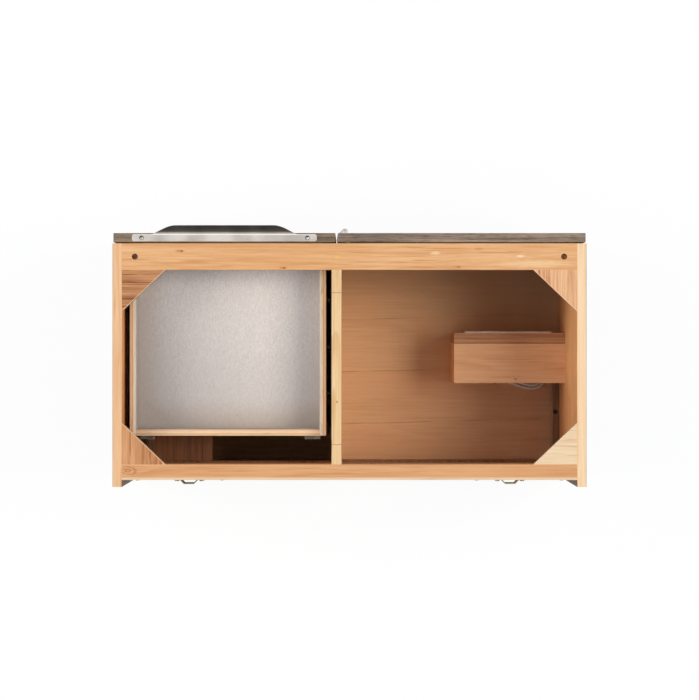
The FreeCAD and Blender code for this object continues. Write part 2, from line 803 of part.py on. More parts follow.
# Door with its pull on end and two cup hinges
hinge_zs = (front_top_z - hinge_from_edge, bottom_z + hinge_from_edge)
cup_x = door_x0 + cup_edge_gap + cup_radius
pin_x = door_x0 + hinge_pin_from_edge
pin_y = front_back_y - hinge_pin_depth
upright = FreeCAD.Rotation(Vector(0, 1, 0), 90)
door_place = FreeCAD.Placement(Vector(door_x1, face_y, (front_top_z + bottom_z) / 2), upright)
cup_bores = []
for hinge_z in hinge_zs:
    mouth = Vector(cup_x, front_back_y, hinge_z)
    cup_bores.append(rod(cup_radius + cup_bore_gap, mouth, mouth + back_axis * cup_depth))
door = front_board((door_x0, door_x1), (bottom_z, front_top_z), placed(pull_pilots(), door_place))
put_node("door", door.cut(cup_bores))
put_node("door_pull", *placed([edge_pull()], door_place))
put_node("door_pull_screws", *placed(pull_screws(), door_place))


def hinge_cup(z):
    """Round cup with a mounting plate, holed for the pin."""
    mouth = Vector(cup_x, front_back_y, z)
    rim_top = mouth - back_axis * cup_plate_thick
    shell = rod(cup_radius, mouth, mouth + back_axis * cup_depth)
    rim = rod(cup_radius, mouth, rim_top)
    half = cup_plate_length / 2
    plate_x = (cup_x, cup_x + cup_plate_width)
    plate = slab(plate_x, (front_back_y, rim_top.y), (z - half, z + half))
    hollow = rod(cup_radius - cup_wall, rim_top, mouth + back_axis * (cup_depth - cup_wall))
    pin_low = Vector(pin_x, pin_y, z - hinge_pin_half)
    pin_high = Vector(pin_x, pin_y, z + hinge_pin_half)
    pin_hole = rod(hinge_pin_radius + hinge_pin_gap, pin_low, pin_high)
    return shell.fuse([rim, plate]).removeSplitter().cut([hollow, pin_hole])


def hinge_pin(z):
    """Pin across the cup."""
    low = Vector(pin_x, pin_y, z - hinge_pin_half)
    return rod(hinge_pin_radius, low, low + Vector(0, 0, 2 * hinge_pin_half))


arm_x = -inner_x + plate_thick + arm_rise - arm_channel_sheet / 2
arm_front_y = front_y + arm_front_inset
arm_back_y = arm_front_y + arm_length


def hinge_arm(z):
    """Gooseneck from the pin's eye into a channel that sits on the mounting plate."""
    low = Vector(0, 0, z - arm_half_height)
    height = Vector(0, 0, 2 * arm_half_height)
    line = [(pin_x, pin_y), (arm_x, pin_y), (arm_x, arm_front_y + arm_bend)]
    neck = folded_sheet(line, [arm_bend], arm_sheet, PLAN, low, height)
    eye_low = Vector(pin_x, pin_y, z - arm_half_height)
    eye = rod(hinge_eye_radius, eye_low, eye_low + height)
    foot_x = -inner_x + plate_thick
    half = (arm_height - arm_channel_sheet) / 2
    legs = [(foot_x, -half), (arm_x, -half), (arm_x, half), (foot_x, half)]
    origin = Vector(0, arm_front_y, z)
    sweep = Vector(0, arm_length, 0)
    channel = folded_sheet(legs, [0] * 2, arm_channel_sheet, FRONT, origin, sweep)
    bore = rod(hinge_pin_radius + hinge_eye_gap, eye_low, eye_low + height)
    return neck.fuse([eye, channel]).removeSplitter().cut(bore)


def hinge_plate(z):
    """Cross-shaped plate on the side panel's inner face."""
    plate_x = (-inner_x, -inner_x + plate_thick)
    half = arm_height / 2
    stem = slab(plate_x, (arm_front_y, arm_back_y), (z - half, z + half))
    wing_y = (arm_front_y + arm_back_y) / 2
    wing = slab(plate_x, (wing_y - plate_wing_width / 2, wing_y + plate_wing_width / 2),
                (z - plate_wing_height / 2, z + plate_wing_height / 2))
    return stem.fuse(wing).removeSplitter()


put_node("hinge_cups", *[hinge_cup(z) for z in hinge_zs])
put_node("hinge_pins", *[hinge_pin(z) for z in hinge_zs])
put_node("hinge_arms", *[hinge_arm(z) for z in hinge_zs])
put_node("hinge_plates", *[hinge_plate(z) for z in hinge_zs])

bumper_x = door_x1 - bumper_edge_gap
bumpers = []
for bumper_z in ((front_rail_z + front_top_z) / 2, bottom_z + bottom_thick / 2):
    seat = Vector(bumper_x, front_back_y, bumper_z)
    bumpers.append(small_bar(bumper_radius, seat, seat - back_axis * (front_standoff - bumper_gap)))
put_node("door_bumpers", *bumpers)

# Outlet enclosure: three boards against the left wall, open at the back
outlet_x = (-inner_x, outlet_x1)
outlet_y = (outlet_inner_y, outlet_back_y)
board_top = slab(outlet_x, outlet_y, (outlet_top_z - outlet_board, outlet_top_z))
put_node("outlet_box_top", board_top)
end_x = (outlet_x1 - outlet_board, outlet_x1)
put_node("outlet_box_end", slab(end_x, outlet_y, (floor_z, outlet_top_z - outlet_board)))
plate_z = (faceplate_z - faceplate_height / 2, faceplate_z + faceplate_height / 2)
housing_x = (faceplate_x0 + housing_side_lip, faceplate_x1 - housing_side_lip)
housing_z = (min(plate_z) + housing_top_lip, max(plate_z) - housing_top_lip)
housing_y = (outlet_face_y, outlet_face_y + housing_depth)
board_front = slab(outlet_x, (outlet_face_y, outlet_inner_y), (floor_z, outlet_top_z))
housing_hole = slab(housing_x, housing_y, housing_z)
put_node("outlet_box_front", board_front.cut(housing_hole))
socket_xs = (faceplate_x - socket_spacing / 2, faceplate_x + socket_spacing / 2)


def socket_block(center_x, y_span, gap):
    """Block with cut corners that fills one socket's window."""
    corners = cut_corners(socket_width / 2 + gap, socket_height / 2 + gap, socket_corner)
    face = Part.Face(outline(corners, FRONT, Vector(center_x, min(y_span), faceplate_z)))
    return face.extrude(Vector(0, max(y_span) - min(y_span), 0))


socket_y = (outlet_face_y - faceplate_thick - socket_proud, outlet_face_y + socket_depth)
windows = [socket_block(x, socket_y, fit_gap) for x in socket_xs]
faceplate = rounded_slab((faceplate_x0, faceplate_x1), (outlet_face_y - faceplate_thick, outlet_face_y),
                         plate_z, faceplate_corner, Vector(0, 1, 0))
put_node("outlet_faceplate", faceplate.cut(windows))
put_node("outlet_housing", housing_hole.cut(windows))


def socket(center_x):
    """Socket insert with two blade slots and a ground hole."""
    made = socket_block(center_x, socket_y, 0)
    cuts = []
    for side in (-1, 1):
        slot_x = center_x + side * slot_spacing / 2
        cuts.append(slab((slot_x - slot_width / 2, slot_x + slot_width / 2), socket_y,
                         (faceplate_z, faceplate_z + slot_height)))
    ground = Vector(center_x, min(socket_y), faceplate_z - ground_drop)
    cuts.append(small_bar(ground_radius, ground, Vector(center_x, max(socket_y), ground.z)))
    return made.cut(cuts)


put_node("outlet_sockets", *[socket(x) for x in socket_xs])

# Cord: the lead drops from the strain relief into the hank, which ends in the plug on top of it
tilt = math.radians(180 - hank_tilt)
along = Vector(math.cos(tilt), math.sin(tilt), 0)
across = Vector(math.sin(tilt), -math.cos(tilt), 0)
up = Vector(0, 0, 1)
hank_base_z = floor_z + hank_floor_gap + cord_diameter / 2
hank_fold = Vector(-inner_x + hank_from_side, outlet_back_y - hank_under_outlet, hank_base_z)
waist = hank_fold - along * (hank_run / 2)
hank_turns = 2 * hank_loops_per_layer
hank_top = hank_layer_step + cord_diameter / 2
plug_rise = hank_top + plug_rest_gap + plug_height / 2


def hank_spread(turn):
    """Fold radius after so many turns: it grows in the lower layer and shrinks in the upper."""
    return hank_fold_radius + hank_step * min(turn, hank_turns - turn)


def hank_height(turn):
    """Lower layer, then upper layer, and the last fold rises to the plug."""
    if turn > hank_turns - 1 / 4:
        return plug_rise
    return 0.0 if turn < hank_loops_per_layer else hank_layer_step


def hank_station(turn):
    """Place and heading after so many turns: at a waist, or at either end of a fold."""
    half_turns, part = divmod(2 * turn, 1)
    hand = 1 if half_turns % 2 == 0 else -1
    radius = hank_spread(turn)
    ends = {0: (0, hank_waist_pull - radius, 1), 1 / 4: (hank_run / 2, -radius, 1),
            3 / 4: (hank_run / 2, radius, -1)}
    a, c, heading = ends[part]
    place = waist + along * (hand * a) + across * (hand * c) + up * hank_height(turn)
    return place, along * (hand * heading)


def arc_edge(start, heading, end):
    """Circular arc, or straight edge, that leaves start along the heading and reaches end."""
    chord = end - start
    side = chord - heading * chord.dot(heading)
    if side.Length < 1e-6:
        return Part.LineSegment(start, end).toShape()
    normal = side.normalize()
    radius = chord.dot(chord) / (2 * chord.dot(normal))
    center = start + normal * radius
    middle = ((start - center) + (end - center)).normalize()
    if chord.dot(heading) < 0:
        middle = middle * -1
    return Part.Arc(start, center + middle * radius, end).toShape()


def biarc(start, heading, end, end_heading):
    """Two arcs that join two places with the given headings and meet smoothly."""
    chord = end - start
    total = heading + end_heading
    spread = 2 * (1 - heading.dot(end_heading))
    if spread < 1e-9:
        reach = chord.dot(chord) / (4 * chord.dot(end_heading))
    else:
        along_total = chord.dot(total)
        reach = (-along_total + math.sqrt(along_total ** 2 + spread * chord.dot(chord))) / spread
    meet = (start + end + (heading - end_heading) * reach) * 0.5
    meet_heading = (meet - start - heading * reach).normalize()
    return [arc_edge(start, heading, meet), arc_edge(meet, meet_heading, end)]


def tube(edges, start, heading):
    """Many-sided tube along a chain of edges."""
    ring = ring_across(cord_diameter / 2, cord_sides, start, heading)
    return Part.Wire(edges).makePipeShell([ring], True, False)


stations = []
for half_turn in range(2 * hank_turns):
    for part in (0, 1 / 4, 3 / 4):
        stations.append(hank_station((half_turn + part) / 2))
stations.append(hank_station(hank_turns))
hank_start = stations[0][0] - along * cord_diameter
hank_end = stations[-1][0] + along * cord_diameter
hank_edges = [Part.LineSegment(hank_start, stations[0][0]).toShape()]
for (place, heading), (next_place, next_heading) in zip(stations, stations[1:]):
    hank_edges += biarc(place, heading, next_place, next_heading)
hank_edges.append(Part.LineSegment(stations[-1][0], hank_end).toShape())
put_node("cord_hank", tube(hank_edges, hank_start, along))
hank_length = sum(e.Length for e in hank_edges)


def least_gap(edges):
    """Least gap between stretches of the hank that are not neighbours, measured on points."""
    spots = []
    travelled = 0.0
    for edge in edges:
        count = max(2, int(edge.Length / 3))
        for spot in edge.discretize(count)[:-1]:
            spots.append((travelled, spot))
            travelled += edge.Length / (count - 1)
    near = 1e9
    for index, (first_s, first) in enumerate(spots):
        for second_s, second in spots[index + 1:]:
            if second_s - first_s > 4 * cord_diameter:
                near = min(near, first.distanceToPoint(second))
    return near - cord_diameter


# Lead: chosen points from the strain relief's tip down to the hank, in runs and tangent arcs
step = lead_drop_run
lead_low = hank_start
corner_three = lead_low - along * step
corner_two = corner_three - along * (step * math.cos(math.pi / 6)) + up * (step * math.sin(math.pi / 6))
corner_one = corner_two - along * (step * math.sin(math.pi / 6)) + up * (step * math.cos(math.pi / 6))
relief_top = Vector(corner_one.x, corner_one.y, min(housing_z))
relief_tip = relief_top - up * relief_length
lead_middle = (relief_tip + corner_one) * 0.5 + across * lead_bow
lead_points = [relief_tip, lead_middle, corner_one, corner_two, corner_three, lead_low]


def lead_path(points):
    """Straight runs joined by tangent arcs, each arc as large as its runs allow."""
    edges = []
    radii = []
    here = points[0]
    for before, corner, after in zip(points, points[1:], points[2:]):
        first = (corner - before).normalize()
        second = (after - corner).normalize()
        half_turn = math.acos(max(-1, min(1, first.dot(second)))) / 2
        shorter = min((corner - before).Length, (after - corner).Length)
        setback = lead_arc_share * shorter
        start = corner - first * setback
        end = corner + second * setback
        radii.append(setback / math.tan(half_turn))
        edges.append(Part.LineSegment(here, start).toShape())
        edges.append(arc_edge(start, first, end))
        here = end
    edges.append(Part.LineSegment(here, points[-1]).toShape())
    return edges, radii


lead_edges, lead_radii = lead_path(lead_points)
lead_heading = (lead_points[1] - lead_points[0]).normalize()
put_node("cord_lead", tube(lead_edges, relief_tip, lead_heading))
lead_length = sum(e.Length for e in lead_edges)

relief_cone = small_bar(relief_root_radius, relief_top, relief_tip, relief_tip_radius)
relief_ring = small_bar(relief_flange_radius, relief_top, relief_top - up * relief_flange)
put_node("strain_relief", relief_cone.fuse(relief_ring).removeSplitter())


# Plug on top of the hank, made along +X and then turned with it
def plug_section(x, width, height, corner):
    """Rectangle with cut corners across the plug."""
    return outline(cut_corners(width / 2, height / 2, corner), SIDE, Vector(x, 0, 0))


plug_sections = [
    plug_section(0, plug_neck, plug_neck, plug_neck_corner),
    plug_section(plug_shoulder, plug_width, plug_height, plug_corner),
    plug_section(plug_length, plug_width, plug_height, plug_corner)]
plug_body = faceted(plug_sections)
blades = []
for side in (-1, 1):
    blade_y = side * blade_spacing / 2
    blades.append(slab((plug_length, plug_length + blade_length),
                       (blade_y - blade_thick / 2, blade_y + blade_thick / 2),
                       (earth_offset / 2 - blade_width / 2, earth_offset / 2 + blade_width / 2)))
earth_low = Vector(plug_length, 0, -earth_offset)
blades.append(rod(earth_radius, earth_low, earth_low + Vector(blade_length, 0, 0)))
plug_place = FreeCAD.Placement(hank_end, FreeCAD.Rotation(up, math.degrees(tilt)))
put_node("cord_plug", *placed([plug_body], plug_place))
put_node("cord_plug_pins", *placed(blades, plug_place))

# Tie round the hank beside its waist
tie_spread = hank_spread(hank_loops_per_layer) - hank_waist_pull + cord_diameter / 2 + tie_gap
tie_reach = (tie_from_waist + tie_width) / (hank_run / 2)
tie_half = tie_spread + 2 * hank_waist_pull * tie_reach ** 2
tie_half_height = (hank_layer_step + cord_diameter) / 2 + tie_gap
tie_start = Vector(-tie_from_waist - tie_width, 0, hank_layer_step / 2)
tie_inner = cut_corners(tie_half, tie_half_height, tie_corner)
tie_outer = cut_corners(tie_half + tie_sheet, tie_half_height + tie_sheet, tie_corner)
tie_face = Part.Face([outline(tie_outer, SIDE, tie_start), outline(tie_inner, SIDE, tie_start)])
tie_place = FreeCAD.Placement(waist, FreeCAD.Rotation(up, math.degrees(tilt)))
put_node("cord_tie", *placed([tie_face.extrude(Vector(tie_width, 0, 0))], tie_place))

os.makedirs("parts", exist_ok=True)
for name, shape in nodes.items():
    shape.exportStep("parts/" + name + ".step")
print(len(nodes), "nodes")
print("cord length", round(lead_length + hank_length, 1), "mm, lead", round(lead_length, 1))
print("lead radii", [round(r, 1) for r in lead_radii])
print("hank least gap to itself", round(least_gap(hank_edges), 2), "mm")
section = Part.Face(ring_across(cord_diameter / 2, cord_sides, waist, up)).Area
print("hank volume / section x length", round(nodes["cord_hank"].Volume / (section * hank_length), 4))
print("lead volume / section x length", round(nodes["cord_lead"].Volume / (section * lead_length), 4))
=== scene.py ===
# %% [markdown]
# # Dressing a wall-mounted vanity
# The construction of the cabinet comes as a fixed frame: every board, slide and hinge is
# already in its place, in metres, with +Z up, the wall at Y = 0 and the front towards -Y.
# This lesson gives each surface its finish and adds the few pieces that are better made as
# smooth surfaces, such as the cord. Nothing in the frame is moved. The box round the frame is
# kept, for the heights and widths that the camera, the floor and the finishes use. The box
# round the frame is kept, because everything that is added has to stay inside it.

# %% Load the frame and keep its box
import math

import bpy
import numpy as np
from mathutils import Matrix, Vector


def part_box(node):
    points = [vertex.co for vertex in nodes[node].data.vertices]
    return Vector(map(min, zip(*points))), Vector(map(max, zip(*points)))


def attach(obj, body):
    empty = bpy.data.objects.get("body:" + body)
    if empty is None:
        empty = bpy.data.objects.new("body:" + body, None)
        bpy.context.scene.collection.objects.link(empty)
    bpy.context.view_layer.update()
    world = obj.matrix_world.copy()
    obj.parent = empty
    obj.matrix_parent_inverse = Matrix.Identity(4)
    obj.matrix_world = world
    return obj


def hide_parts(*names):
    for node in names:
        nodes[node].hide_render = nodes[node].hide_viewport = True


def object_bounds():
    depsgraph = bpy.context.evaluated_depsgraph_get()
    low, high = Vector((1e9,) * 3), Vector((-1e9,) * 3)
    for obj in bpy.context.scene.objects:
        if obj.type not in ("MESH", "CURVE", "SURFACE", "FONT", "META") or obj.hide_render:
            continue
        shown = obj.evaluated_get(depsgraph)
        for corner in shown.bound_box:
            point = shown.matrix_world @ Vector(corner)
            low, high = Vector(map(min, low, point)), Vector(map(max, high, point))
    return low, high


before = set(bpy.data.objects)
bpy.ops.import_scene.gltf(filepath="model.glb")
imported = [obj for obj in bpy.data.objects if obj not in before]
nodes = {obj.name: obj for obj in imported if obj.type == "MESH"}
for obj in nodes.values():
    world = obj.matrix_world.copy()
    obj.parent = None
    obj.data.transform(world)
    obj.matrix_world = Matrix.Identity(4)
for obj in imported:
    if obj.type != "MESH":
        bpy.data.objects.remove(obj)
cad_box = [list(corner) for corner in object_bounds()]
print("frame:", len(nodes), "nodes, box", [[round(x, 4) for x in corner] for corner in cad_box])

# %% [markdown]
# ## Camera
# The picture looks straight down into the open cabinet, with its front towards the top of the
# image, so the camera hangs above the cabinet and is turned half a circle about the vertical.
# A parallel view would hide the inner walls, and a near camera would show much of them. They
# show as narrow strips, which fixes the distance at about six metres. The lens follows from
# the width of the view at the height of the top edge.

# %% Hang the camera above the open top
top_z = cad_box[1][2]
view_centre_y = -0.2643
view_width = 1.3503
camera_height = 6.0
camera_reach = 100.0
sensor = 36.0

scene = bpy.context.scene
camera_data = bpy.data.cameras.new("overhead_camera")
camera_data.sensor_width = sensor
camera_data.lens = sensor * camera_height / view_width
camera_data.clip_end = camera_reach
camera = bpy.data.objects.new("overhead_camera", camera_data)
camera.location = (0.0, view_centre_y, top_z + camera_height)
camera.rotation_euler = (0.0, 0.0, math.pi)
scene.collection.objects.link(camera)
scene.camera = camera
print("camera lens", round(camera_data.lens, 1), "mm")

# %% [markdown]
# ## The outlet's cord
# A power outlet sits in a small box on the left wall. Its cord drops out of a strain relief
# and lies on the cabinet floor as a tied hank, with the plug on top. A tube of straight pieces
# would show its corners. A cord is one smooth line of a fixed length, so it is a single NURBS
# curve: first the points of the lead, then the turns of the hank, which a loop works out. A
# quadratic curve touches the middle of each leg of its control polygon, so the points round a
# fold stand a little outside the fold's radius.

# %% Sizes of the lead and the hank
cord_diameter = 0.006
lead_points = [
    (-0.2842, -0.23955, -0.379),
    (-0.28394, -0.23807, -0.41503),
    (-0.2842, -0.23955, -0.45106),
    (-0.29233, -0.23811, -0.46535),
    (-0.3064, -0.23563, -0.4736),
    (-0.32265, -0.23277, -0.4736),
]
hank_waist = np.array((-0.32682, -0.22188, -0.4736))
hank_tilt = math.radians(170)
hank_along = np.array((math.cos(hank_tilt), math.sin(hank_tilt), 0.0))
hank_across = np.array((math.sin(hank_tilt), -math.cos(hank_tilt), 0.0))
hank_run = 0.108
hank_fold_radius = 0.019
hank_step = 0.0071
hank_waist_pull = 0.009
hank_layer_step = 0.0066
hank_turns = 4
plug_rise = 0.021
print("lead:", len(lead_points), "points, hank:", hank_turns, "turns")


# %% Turns of the hank
def hank_spread(turn):
    """Fold radius after so many turns: out through the lower layer, back through the upper."""
    return hank_fold_radius + hank_step * min(turn, hank_turns - turn)


def hank_height(turn):
    """Lower layer, a climb along the run before turn two, upper layer, a rise in the last fold."""
    climb = np.interp(turn, (hank_turns / 2 - 1 / 8, hank_turns / 2), (0.0, hank_layer_step))
    last_fold = (hank_turns - 3 / 8, hank_turns - 1 / 8)
    rise = np.interp(turn, last_fold, (0.0, plug_rise - hank_layer_step))
    return climb + rise


def hank_half_turn(half_turn):
    """Control points of half a turn: waist, run, fold and run, before the opposite waist."""
    hand = 1 if half_turn % 2 == 0 else -1
    half_run = hank_run / 2
    fold_step = math.radians(36)
    outside = 1 / math.cos(fold_step / 2)
    points = []

    def add(share, along, across):
        turn = (half_turn + share) / 2
        place = hank_waist + hank_along * (hand * along) + hank_across * (hand * across)
        points.append(place + np.array((0.0, 0.0, hank_height(turn))))

    radius = hank_spread(half_turn / 2)
    add(0.0, 0.0, hank_waist_pull - radius)
    for share in (0.10, 0.20):
        radius = hank_spread((half_turn + share) / 2)
        run = 4 * share * half_run
        pull = hank_waist_pull * (1 - 4 * share) ** 2 * (1 + 8 * share)
        add(share, run, pull - radius)
    for angle in (-54, -18, 18, 54):
        share = 0.5 + angle / 360
        radius = hank_spread((half_turn + share) / 2) * outside
        bend = math.radians(angle)
        add(share, half_run + radius * math.cos(bend), radius * math.sin(bend))
    for share in (0.80, 0.90):
        radius = hank_spread((half_turn + share) / 2)
        run = 4 * (1 - share) * half_run
        pull = hank_waist_pull * (1 - 4 * (1 - share)) ** 2 * (1 + 8 * (1 - share))
        add(share, run, radius - pull)
    return points


hank_points = [point for half_turn in range(2 * hank_turns) for point in hank_half_turn(half_turn)]
hank_end = hank_waist + hank_across * (hank_waist_pull - hank_fold_radius) + np.array((0, 0, plug_rise))
plug_seat = hank_end + hank_along * cord_diameter
route = [*lead_points, *hank_points[1:], tuple(hank_end), tuple(plug_seat)]
print("cord route:", len(route), "points,", round(len(hank_points) / hank_turns, 1), "in each turn")

# %% [markdown]
# ## A round section for the cord
# The route becomes a curve, and Blender carries a circle along it. The thickness could be the
# bevel depth. Here it is each point's own radius, with a bevel depth of one, because Blender
# takes that radius for the box round the curve.

# %% Make the cord a curve
cord_curve = bpy.data.curves.new("outlet_cord", "CURVE")
cord_curve.dimensions = "3D"
cord_curve.bevel_depth = 1.0
cord_curve.bevel_resolution = 4
cord_curve.use_fill_caps = True
cord_curve.resolution_u = 6
cord_line = cord_curve.splines.new("NURBS")
cord_line.points.add(len(route) - 1)
cord_line.points.foreach_set("co", np.c_[np.array(route), np.ones(len(route))].ravel())
cord_line.points.foreach_set("radius", np.full(len(route), cord_diameter / 2))
cord_line.order_u = 3
cord_line.use_endpoint_u = True
cord = bpy.data.objects.new("outlet_cord", cord_curve)
scene.collection.objects.link(cord)
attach(cord, "carcass")
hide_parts("cord_lead", "cord_hank")
print("cord curve:", round(cord_line.calc_length(), 2), "m long")

# %% [markdown]
# ## Shader arithmetic
# A finish is a network of small nodes. It could be drawn by hand in the shader editor, or each
# node could be made and linked line by line. Here one small class holds a socket and lets
# Python's own operators add the Math nodes, so that a formula for a finish reads as a formula.

# %% Sockets in Python arithmetic
class Wire:
    """A socket of a node tree that can be used in Python arithmetic, which adds Math nodes."""

    def __init__(self, tree, socket=None):
        self.tree = tree
        self.socket = socket

    def add(self, kind, settings=None, inputs=None, out=0):
        """Add a node: its type, its settings first, then its sockets' values or links."""
        node = self.tree.nodes.new(kind)
        for name, value in (settings or {}).items():
            if name == "stops":
                elements = node.color_ramp.elements
                while len(elements) < len(value):
                    elements.new(1.0)
                for element, (position, colour) in zip(elements, value):
                    element.position = position
                    element.color = colour
            else:
                setattr(node, name, value)
        for key, value in (inputs or {}).items():
            if isinstance(value, Wire):
                self.tree.links.new(value.socket, node.inputs[key])
            else:
                node.inputs[key].default_value = value
        return Wire(self.tree, node.outputs[out] if node.outputs else None)

    def math(self, operation, *values):
        """A Math node on the given values, in order."""
        return self.add("ShaderNodeMath", {"operation": operation}, dict(enumerate(values)))

    def __add__(self, other):
        return self.math("ADD", self, other)

    def __sub__(self, other):
        return self.math("SUBTRACT", self, other)

    def __rsub__(self, other):
        return self.math("SUBTRACT", other, self)

    def __mul__(self, other):
        return self.math("MULTIPLY", self, other)

    def __truediv__(self, other):
        return self.math("DIVIDE", self, other)

    def __pow__(self, other):
        return self.math("POWER", self, other)

    def __gt__(self, other):
        return self.math("GREATER_THAN", self, other)

    def __abs__(self):
        return self.math("ABSOLUTE", self)

    __radd__ = __add__
    __rmul__ = __mul__

    def step(self, low, high):
        """Smooth step from 0 at low to 1 at high; low may be the larger one."""
        return self.add("ShaderNodeMapRange", {"interpolation_type": "SMOOTHSTEP"},
                        {"Value": self, "From Min": low, "From Max": high})

    def mix(self, first, second):
        """Colour that goes from first to second as this value goes from 0 to 1."""
        return self.add("ShaderNodeMix", {"data_type": "RGBA"}, {0: self, 6: first, 7: second}, out=2)

    def scaled(self, scale, offset=(0, 0, 0)):
        """Coordinates stretched by a scale for each axis, then moved."""
        return self.add("ShaderNodeMapping", None, {"Vector": self, "Location": offset, "Scale": scale})

    def noise(self, seed, scale=1.0, detail=2.0, roughness=0.5):
        """Fractal noise from 0 to 1 at these coordinates; the seed picks another pattern."""
        return self.add("ShaderNodeTexNoise", {"noise_dimensions": "4D"},
                        {"Vector": self, "W": seed, "Scale": scale, "Detail": detail,
                         "Roughness": roughness})

    def length(self):
        """Length of a vector."""
        return self.add("ShaderNodeVectorMath", {"operation": "LENGTH"}, {0: self}, "Value")

    def axes(self):
        """The three numbers of a vector."""
        split = self.add("ShaderNodeSeparateXYZ", None, {0: self}).socket.node
        return [Wire(self.tree, socket) for socket in split.outputs]

    def bump(self, distance):
        """Normal of a surface raised by this value times a distance in metres."""
        return self.add("ShaderNodeBump", None, {"Height": self, "Distance": distance})


# %% [markdown]
# ## Colours by display values
# Colours are easiest to judge as they show on a screen, from 0 to 255. Blender mixes light in
# linear values, which could be written by hand but tell the eye little, so each display value
# goes through the curve of the screen first.

# %% Display values to linear ones
def paint(red, green, blue):
    """Colour given in display values from 0 to 255, in Blender's linear values."""
    shares = np.array((red, green, blue)) / 255
    linear = np.where(shares <= 0.04045, shares / 12.92, ((shares + 0.055) / 1.055) ** 2.4)
    return (*linear.tolist(), 1.0)


print("display value 128 is", round(paint(128, 128, 128)[0], 3), "in linear light")

# %% [markdown]
# ## Studio floor and fill
# The cabinet is shown on plain white with a soft shadow. More light would also make the ground
# white, but it would bleach the pale wood. Instead, rays that come from the camera or from a
# mirror see a glowing floor with a tenth of its matt surface, which keeps the shadow, and a
# white world. All other rays see a matt floor and a dimmer, cooler fill.

# %% Studio floor
floor_half = 12.0
floor_z = cad_box[0][2]
floor_white = 0.95
floor_shadow_share = 0.1
floor_shine = 1.02


def seen_directly(wire):
    """1 for rays from the camera, and for mirrored and refracted ones, 0 for diffuse light."""
    path = wire.add("ShaderNodeLightPath").socket.node.outputs
    ways = [Wire(wire.tree, path[name]) for name in
            ("Is Camera Ray", "Is Glossy Ray", "Is Transmission Ray")]
    return wire.math("MAXIMUM", wire.math("MAXIMUM", ways[0], ways[1]), ways[2])


def bare_material(name):
    """New material without nodes, and a wire to fill its tree with."""
    material = bpy.data.materials.new(name)
    material.use_nodes = True
    material.node_tree.nodes.clear()
    return material, Wire(material.node_tree)


def stage_piece(name, corners, faces, material):
    """Mesh of the studio, which isn't part of the cabinet."""
    mesh = bpy.data.meshes.new(name)
    mesh.from_pydata(corners, [], faces)
    mesh.materials.append(material)
    piece = bpy.data.objects.new(name, mesh)
    scene.collection.objects.link(piece)
    return piece


floor_finish, floor_wire = bare_material("studio_floor")
floor_matt = floor_wire.add("ShaderNodeBsdfDiffuse", None, {"Color": (floor_white,) * 3 + (1.0,)})
floor_glow = floor_wire.add("ShaderNodeEmission", None, {"Strength": floor_shine})
floor_share = seen_directly(floor_wire) * (1 - floor_shadow_share)
floor_mixed = floor_wire.add("ShaderNodeMixShader", None,
                             {0: floor_share, 1: floor_matt, 2: floor_glow})
floor_wire.add("ShaderNodeOutputMaterial", None, {"Surface": floor_mixed})
floor_corners = [(x * floor_half, y * floor_half, floor_z)
                 for x, y in ((-1, -1), (1, -1), (1, 1), (-1, 1))]
stage_piece("studio_floor", floor_corners, [(0, 1, 2, 3)], floor_finish)
print("studio floor at", round(floor_z, 3), "m")

# %% White world with a cool fill
scene.view_settings.view_transform = "Standard"
world_fill = 0.38
cool_fill = (0.82, 0.97, 1.2, 1.0)
white = (1.0, 1.0, 1.0, 1.0)

world = bpy.data.worlds.new("studio_world")
scene.world = world
world.use_nodes = True
world.node_tree.nodes.clear()
sky = Wire(world.node_tree)
sky_seen = seen_directly(sky)
sky_strength = sky_seen * (1 - world_fill) + world_fill
sky_colour = sky_seen.mix(cool_fill, white)
sky_light = sky.add("ShaderNodeBackground", None, {"Color": sky_colour, "Strength": sky_strength})
sky.add("ShaderNodeOutputWorld", None, {"Surface": sky_light})
print("world fill", world_fill)

# %% [markdown]
# ## Two soft lamps
# Two large square lamps lean over the open top: one from the +X side, low enough to reach the
# far wall, and one from the -X side, steep enough to reach the floor beside the partition. A
# sun would throw hard edges into the bays. Together with the fill they light a level white
# face to just about white.

# %% Hang the lamps
warm_lamp = (1.0, 0.94, 0.84)
lamp_watts = 68.0


def soft_lamp(name, place, size):
    """Square lamp aimed at the middle of the open top."""
    lamp_data = bpy.data.lights.new(name, "AREA")
    lamp_data.shape = "SQUARE"
    lamp_data.size = size
    lamp_data.energy = lamp_watts
    lamp_data.color = warm_lamp
    lamp = bpy.data.objects.new(name, lamp_data)
    lamp.location = place
    target = np.array((0.0, view_centre_y, top_z))
    direction = (target - np.array(place)) / np.linalg.norm(target - np.array(place))
    lamp.rotation_euler = (math.acos(-direction[2]), 0.0, math.atan2(-direction[0], direction[1]))
    scene.collection.objects.link(lamp)
    print(name, "of", size, "m")


soft_lamp("left_side_lamp", (-2.0, -0.45, 3.2), 1.4)
soft_lamp("right_side_lamp", (2.9, -0.45, 2.4), 1.8)

# %% [markdown]
# ## A black card for the metal
# Polished metal shows its surroundings. A photographer stands black card in front of it and
# beside it, so that bends get a dark side. Darker metal would lose its bright side too. The
# card is folded round three sides, and only mirrored rays can see it: it takes no light from
# the wood and throws no shadow. It is a little paler near the floor.

# %% Stand the card in front
card_y = -1.6
card_back_y = 0.4
card_half = 1.9
card_top = 3.2
card_fade_top = 1.2
card_black = 0.01
card_paler = 0.1

card_finish, card_wire = bare_material("black_card")
card_height = card_wire.add("ShaderNodeTexCoord", out="Object").axes()[2]
card_grey = card_height.step(card_fade_top, floor_z) * card_paler + card_black
card_light = card_wire.add("ShaderNodeEmission", None, {"Color": card_grey})
card_wire.add("ShaderNodeOutputMaterial", None, {"Surface": card_light})

